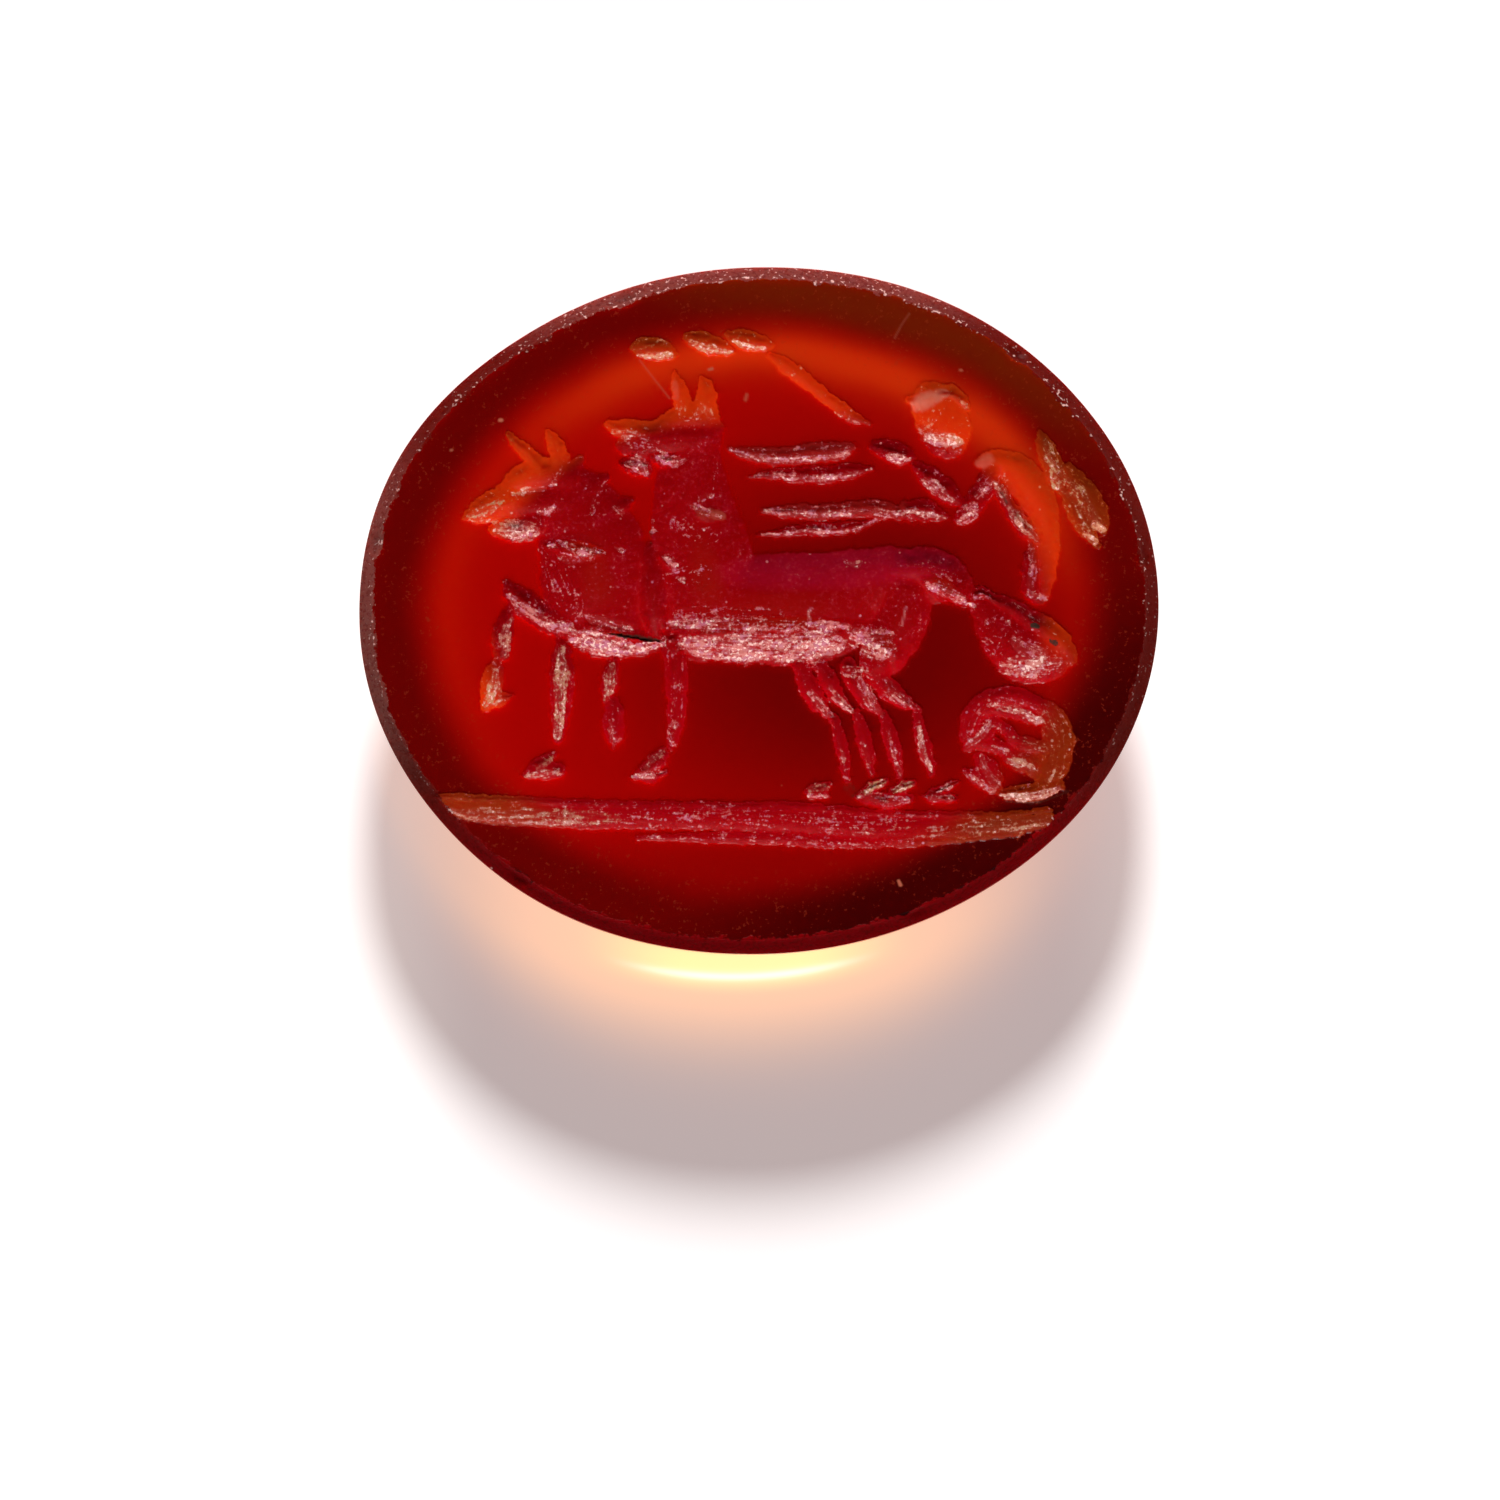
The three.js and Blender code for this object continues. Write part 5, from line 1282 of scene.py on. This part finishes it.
stoneMaterial, wire = newMaterial("carnelian")
textureMap = wire.add("ShaderNodeTexCoord", output=3)
facing = wire.add("ShaderNodeTexCoord", output=1)
place = wire.add("ShaderNodeVectorMath", {"operation": "SCALE"}, {0: textureMap, "Scale": 1 / mm})
x = place.axis(0)
y = place.axis(1)
z = place.axis(2)
northTilt = facing.axis(1)
level = facing.axis(2)
cut = wire.painted("cut")
frosted = wire.painted("frost")
dusty = wire.painted("dust")
hazy = wire.painted("haze")
dirty = wire.painted("dirt")
scratched = wire.painted("scratch")
nearRim = wire.painted("rim")
alongStroke = wire.painted("strokePlace", 1)

cloud = wire.noise(place, carnelian["cloudScale"])
clumps = wire.noise(place, carnelian["clumpScale"])
fine = wire.noise(place, carnelian["fineScale"], 2, 0.6)
strokeGrain = wire.noise(alongStroke, carnelian["strokeScale"], 2, 0.6)
texture = fine * 0.5 + strokeGrain * 0.5 + (clumps - 0.5) * 0.3
u = x / (halfLength / mm)
v = y / (halfWidth / mm)
rho = (u * u + v * v) ** 0.5 + (cloud - 0.5) * 0.06
upness = v / rho.atLeast(0.05)

# the field: the stone's own red with painted light and shade: a dark heart of painted shade, a painted ring
# where light comes back up through the stone, a painted dark outer band, and painted shade towards the
# bottom
heartX = (u - 0.24) / 0.8
heartY = (v + 0.16).atLeast(0) / 0.85 - (0 - v - 0.16).atLeast(0) / 0.62
heart = (heartX * heartX + heartY * heartY) ** 0.5
redness = heart.step(0.15, 1.15) * (1 - (0 - v).step(0.55, 0.8) * 0.5)
colour = redness.blend(carnelian["heart"], carnelian["red"])
ringPlace = 0.788 - upness * 0.035
sideLightRing = rho.hump(ringPlace, 0.07) * upness.step(-0.9, 0.1) * (1 - u.step(0, 0.8) * 0.7)
topLightRing = rho.hump(ringPlace, 0.06) * ((u * 0.34 + v * 0.94) / rho.atLeast(0.05)).step(0.26, 0.95)
colour = sideLightRing.blend(colour, carnelian["sideLightRing"])
colour = topLightRing.blend(colour, carnelian["topLightRing"])
colour = rho.step(0.77, 0.91).blend(colour, carnelian["band"])
lowShadedBand = rho.step(0.76, 0.9) * (u * 0.64 - v * 0.77).step(0.45, 0.85)
colour = lowShadedBand.blend(colour, carnelian["lowShadedBand"])
oliveShare = rho.step(0.8, 0.92) * (u * 0.42 + v * 0.91).step(0.66, 0.9) * 0.9
colour = oliveShare.blend(colour, carnelian["olive"])
dustiness = (fine + (clumps - 0.5) * 0.35).step(0.62, 0.7) * rho.step(0.7, 0.86)
colour = (dustiness * 0.4).blend(colour, carnelian["fieldDust"])

# in the cuts: crimson over the middle, painted light in orange over the bright ring of light, olive over
# the painted dark band
inCut = cut.step(0.1, 0.9)
leftward = (0 - u).atLeast(0)
inward = rho - u.atLeast(0) * 0.25 - leftward * 0.22
cutOverLightRing = inward.step(0.51, 0.58) * (upness + 0.3 + leftward * 0.4).step(0, 0.2)
# a painted sheen: a painted pink highlight over the rear horse's barrel and in patches of the cuts
offSheen = ((u - 0.2) ** 2) * 9 + ((v - 0.11) ** 2) * 240
sheen = (1 - offSheen.step(0.2, 1.3)) * 0.6 + clumps.step(0.5, 0.8) * 0.2
sheen = sheen * (0.5 + fine)
cutColour = sheen.blend(carnelian["crimson"], carnelian["sheen"])
cutColour = (0 - v).step(0.1, 0.25).blend(cutColour, carnelian["lowCrimson"])
cutColour = (texture.step(0.48, 0.66) * 0.32).blend(cutColour, carnelian["grain"])
cutColour = cutOverLightRing.blend(cutColour, carnelian["cutOrange"])
overBand = rho.step(0.74, 0.88)
lowLeft = (0 - u).step(0.2, 0.55) * (0 - v).step(0.1, 0.5)
bandCut = lowLeft.blend(carnelian["cutOlive"], carnelian["cutTawny"])
cutColour = overBand.blend(cutColour, bandCut)
amber = texture.step(0.5, 0.6) * (cutOverLightRing * 0.06 + overBand * 0.5)
cutColour = amber.blend(cutColour, carnelian["amber"])
colour = inCut.blend(colour, cutColour)
bloom = cutOverLightRing.blend(carnelian["bloom"], carnelian["warmBloom"])
colour = (frosted.step(0.5, 1.15) * (0.16 + texture.step(0.36, 0.64) * 0.5)).blend(colour, bloom)
colour = (hazy * 0.9).blend(colour, carnelian["haze"])
film = (frosted * dusty).step(0.1, 0.9) * texture.step(0.35, 0.65) * 0.14
colour = film.blend(colour, carnelian["dust"])

# the bevel: its own rough red-brown; mauve at the top and lower left, partly the ground bevel's colour and,
# at the top where it faces the key, a painted highlight; a brighter red at the bottom, a painted glow of
# light coming out through the stone
rim = (nearRim + (clumps - 0.5) * 1.1 + (fine - 0.5) * 0.5).step(0.84, 0.98)
litTopRim = v.step(0.76, 0.92)
leftSide = (0 - u).step(0.8, 0.97) * v.step(-0.6, -0.2)
rimColour = v.step(-0.75, -0.4).blend(carnelian["bevelLowGlow"], carnelian["bevel"])
rimColour = (litTopRim.atLeast(leftSide) * 0.85).blend(rimColour, carnelian["bevelMauve"])
rimColour = ((1 - fine).step(0.5, 0.62) * 0.45).blend(rimColour, carnelian["bevelDark"])
colour = rim.blend(colour, rimColour)
flank = 1 - z.step(*carnelian["flankHeights"])
colour = flank.blend(colour, carnelian["flank"])
# painted light: the lower flank and back turn a brighter orange, where light comes out through the stone
# near the floor
colour = (1 - z.step(*carnelian["backHeights"])).blend(colour, carnelian["back"])

# ground walls: pale grains in lines along the stroke, the walls' own paleness, made denser where they turn
# north to the light as a painted highlight
lit = northTilt.step(-0.1, 0.3)
amount = frosted * (0.82 + lit * 0.18)
pale = ((texture - 0.5) * 6.5 + amount * 1.25).step(0.7, 1.8) * frosted.step(0.02, 0.14)

# single specks in the hollows, and a few motes on the face
cells = {"Vector": place, "Scale": carnelian["speckScale"]}
fromMiddle = wire.add("ShaderNodeTexVoronoi", {}, cells)
cellColour = wire.add("ShaderNodeTexVoronoi", {}, cells, 1)
chance = wire.add("ShaderNodeSeparateColor", {}, {0: cellColour}, 0)
specks = (1 - fromMiddle.step(0.05, 0.13)) * (chance + inCut * 0.62).step(0.98, 1.0)
pale = pale.atLeast(specks * (0.35 + inCut * 0.45)).atLeast(scratched)
pale = pale * (1 - (dirty * (0.6 + fine)).step(0.3, 0.7))

tint = wire.noise(place, carnelian["tintScale"], 1)
frostColour = tint.step(0.4, 0.65).blend(carnelian["frost"], carnelian["lilacFrost"])
frostColour = cutOverLightRing.blend(frostColour, carnelian["creamFrost"])
frostColour = (dusty * (0.4 + clumps * 0.9)).blend(frostColour, carnelian["dust"])
# painted glints: the brightest grains are painted near white, a painted highlight
glint = (wire.noise(place, carnelian["glintScale"], 1) + frosted * 0.11).step(0.66, 0.74)
frostColour = glint.blend(frostColour, carnelian["sparkle"])
frostColour = inCut.blend(carnelian["motes"], frostColour)
# painted glints on the bevel, densest at the top where it faces the key
innerEdge = 1 - nearRim.step(1.1, 1.5)
glitter = wire.noise(place, carnelian["glitterScale"], 1)
glitter = glitter + innerEdge * 0.06 + litTopRim * 0.04 + (clumps - 0.5) * 0.25
glitter = glitter.step(0.66, 0.84)
glitter = glitter * rim * v.step(-0.7, 0.3) * (0.35 + litTopRim.atLeast(innerEdge) * 0.55)
frostColour = rim.blend(frostColour, carnelian["sparkle"])
pale = pale.atLeast(glitter)
colour = (dirty * (0.55 + fine)).step(0.25, 0.75).blend(colour, carnelian["dirt"])

# painted light and shade for light carried through the stone: walls turned to the key are painted darker so
# that they aren't brighter, and those turned away, and the lower flank, get a painted glow by emission
facingKey = wire.add("ShaderNodeVectorMath", {"operation": "DOT_PRODUCT"}, {0: facing, 1: towardsKey}, 1)
facingKey = facingKey / math.sin(light["elevation"])
worked = inCut.atLeast(rim)
turnedTo = (1 - 1 / facingKey.atLeast(1)) * worked
colour = turnedTo.blend(colour, carnelian["facingTint"], "MULTIPLY")
frostColour = turnedTo.blend(frostColour, carnelian["facingFrostTint"], "MULTIPLY")
turnedAway = (1 - facingKey) * worked.atLeast(flank * 0.4)
clampedTimes = {"operation": "MULTIPLY", "use_clamp": True}
paintedGlow = wire.add("ShaderNodeMath", clampedTimes, {0: turnedAway, 1: carnelian["glowShare"]})
tinted = (1 - flank).blend(colour, carnelian["shadeTint"], "MULTIPLY")
glowing = paintedGlow.blend(carnelian["unlit"], tinted)
paleGlowing = paintedGlow.blend(carnelian["unlit"], frostColour)

topFace = z.step(*carnelian["faceHeights"])
polished = (1 - cut.step(0, 0.06)) * (1 - rim) * (1 - topFace).atLeast(level.step(0.97, 0.998))
polished = polished * (1 - flank * 0.6)
grainHeight = texture * frosted + fine * (inCut * 0.15 + rim * 0.6)
bump = wire.add("ShaderNodeBump", {}, {
    "Strength": carnelian["grainStrength"], "Distance": carnelian["grainDepth"], "Height": grainHeight})
roughness = carnelian["roughness"] + inCut * carnelian["cutRoughness"] + rim * carnelian["bevelRoughness"]
clear = wire.add("ShaderNodeBsdfPrincipled", {}, {
    "Base Color": colour, "Roughness": roughness, "Normal": bump,
    "IOR": carnelian["refraction"], "Specular IOR Level": carnelian["shine"],
    "Coat Weight": polished, "Coat Roughness": carnelian["polishRoughness"],
    "Coat IOR": carnelian["refraction"], "Subsurface Weight": carnelian["depthWeight"],
    "Subsurface Radius": carnelian["lightSpread"], "Subsurface Scale": carnelian["lightReach"],
    "Emission Color": glowing, "Emission Strength": 1.0})
matt = wire.add("ShaderNodeBsdfPrincipled", {}, {
    "Base Color": frostColour, "Roughness": carnelian["frostRoughness"], "Normal": bump,
    "IOR": carnelian["refraction"], "Specular IOR Level": carnelian["frostShine"],
    "Emission Color": paleGlowing, "Emission Strength": 1.0})
surface = wire.add("ShaderNodeMixShader", {}, {0: pale, 1: clear, 2: matt})
wire.add("ShaderNodeOutputMaterial", {}, {"Surface": surface})
stoneMaterial.cycles.emission_sampling = "NONE"
gem.data.materials.append(stoneMaterial)
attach(gem, "root")
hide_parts("ringstone")
print("material ready")
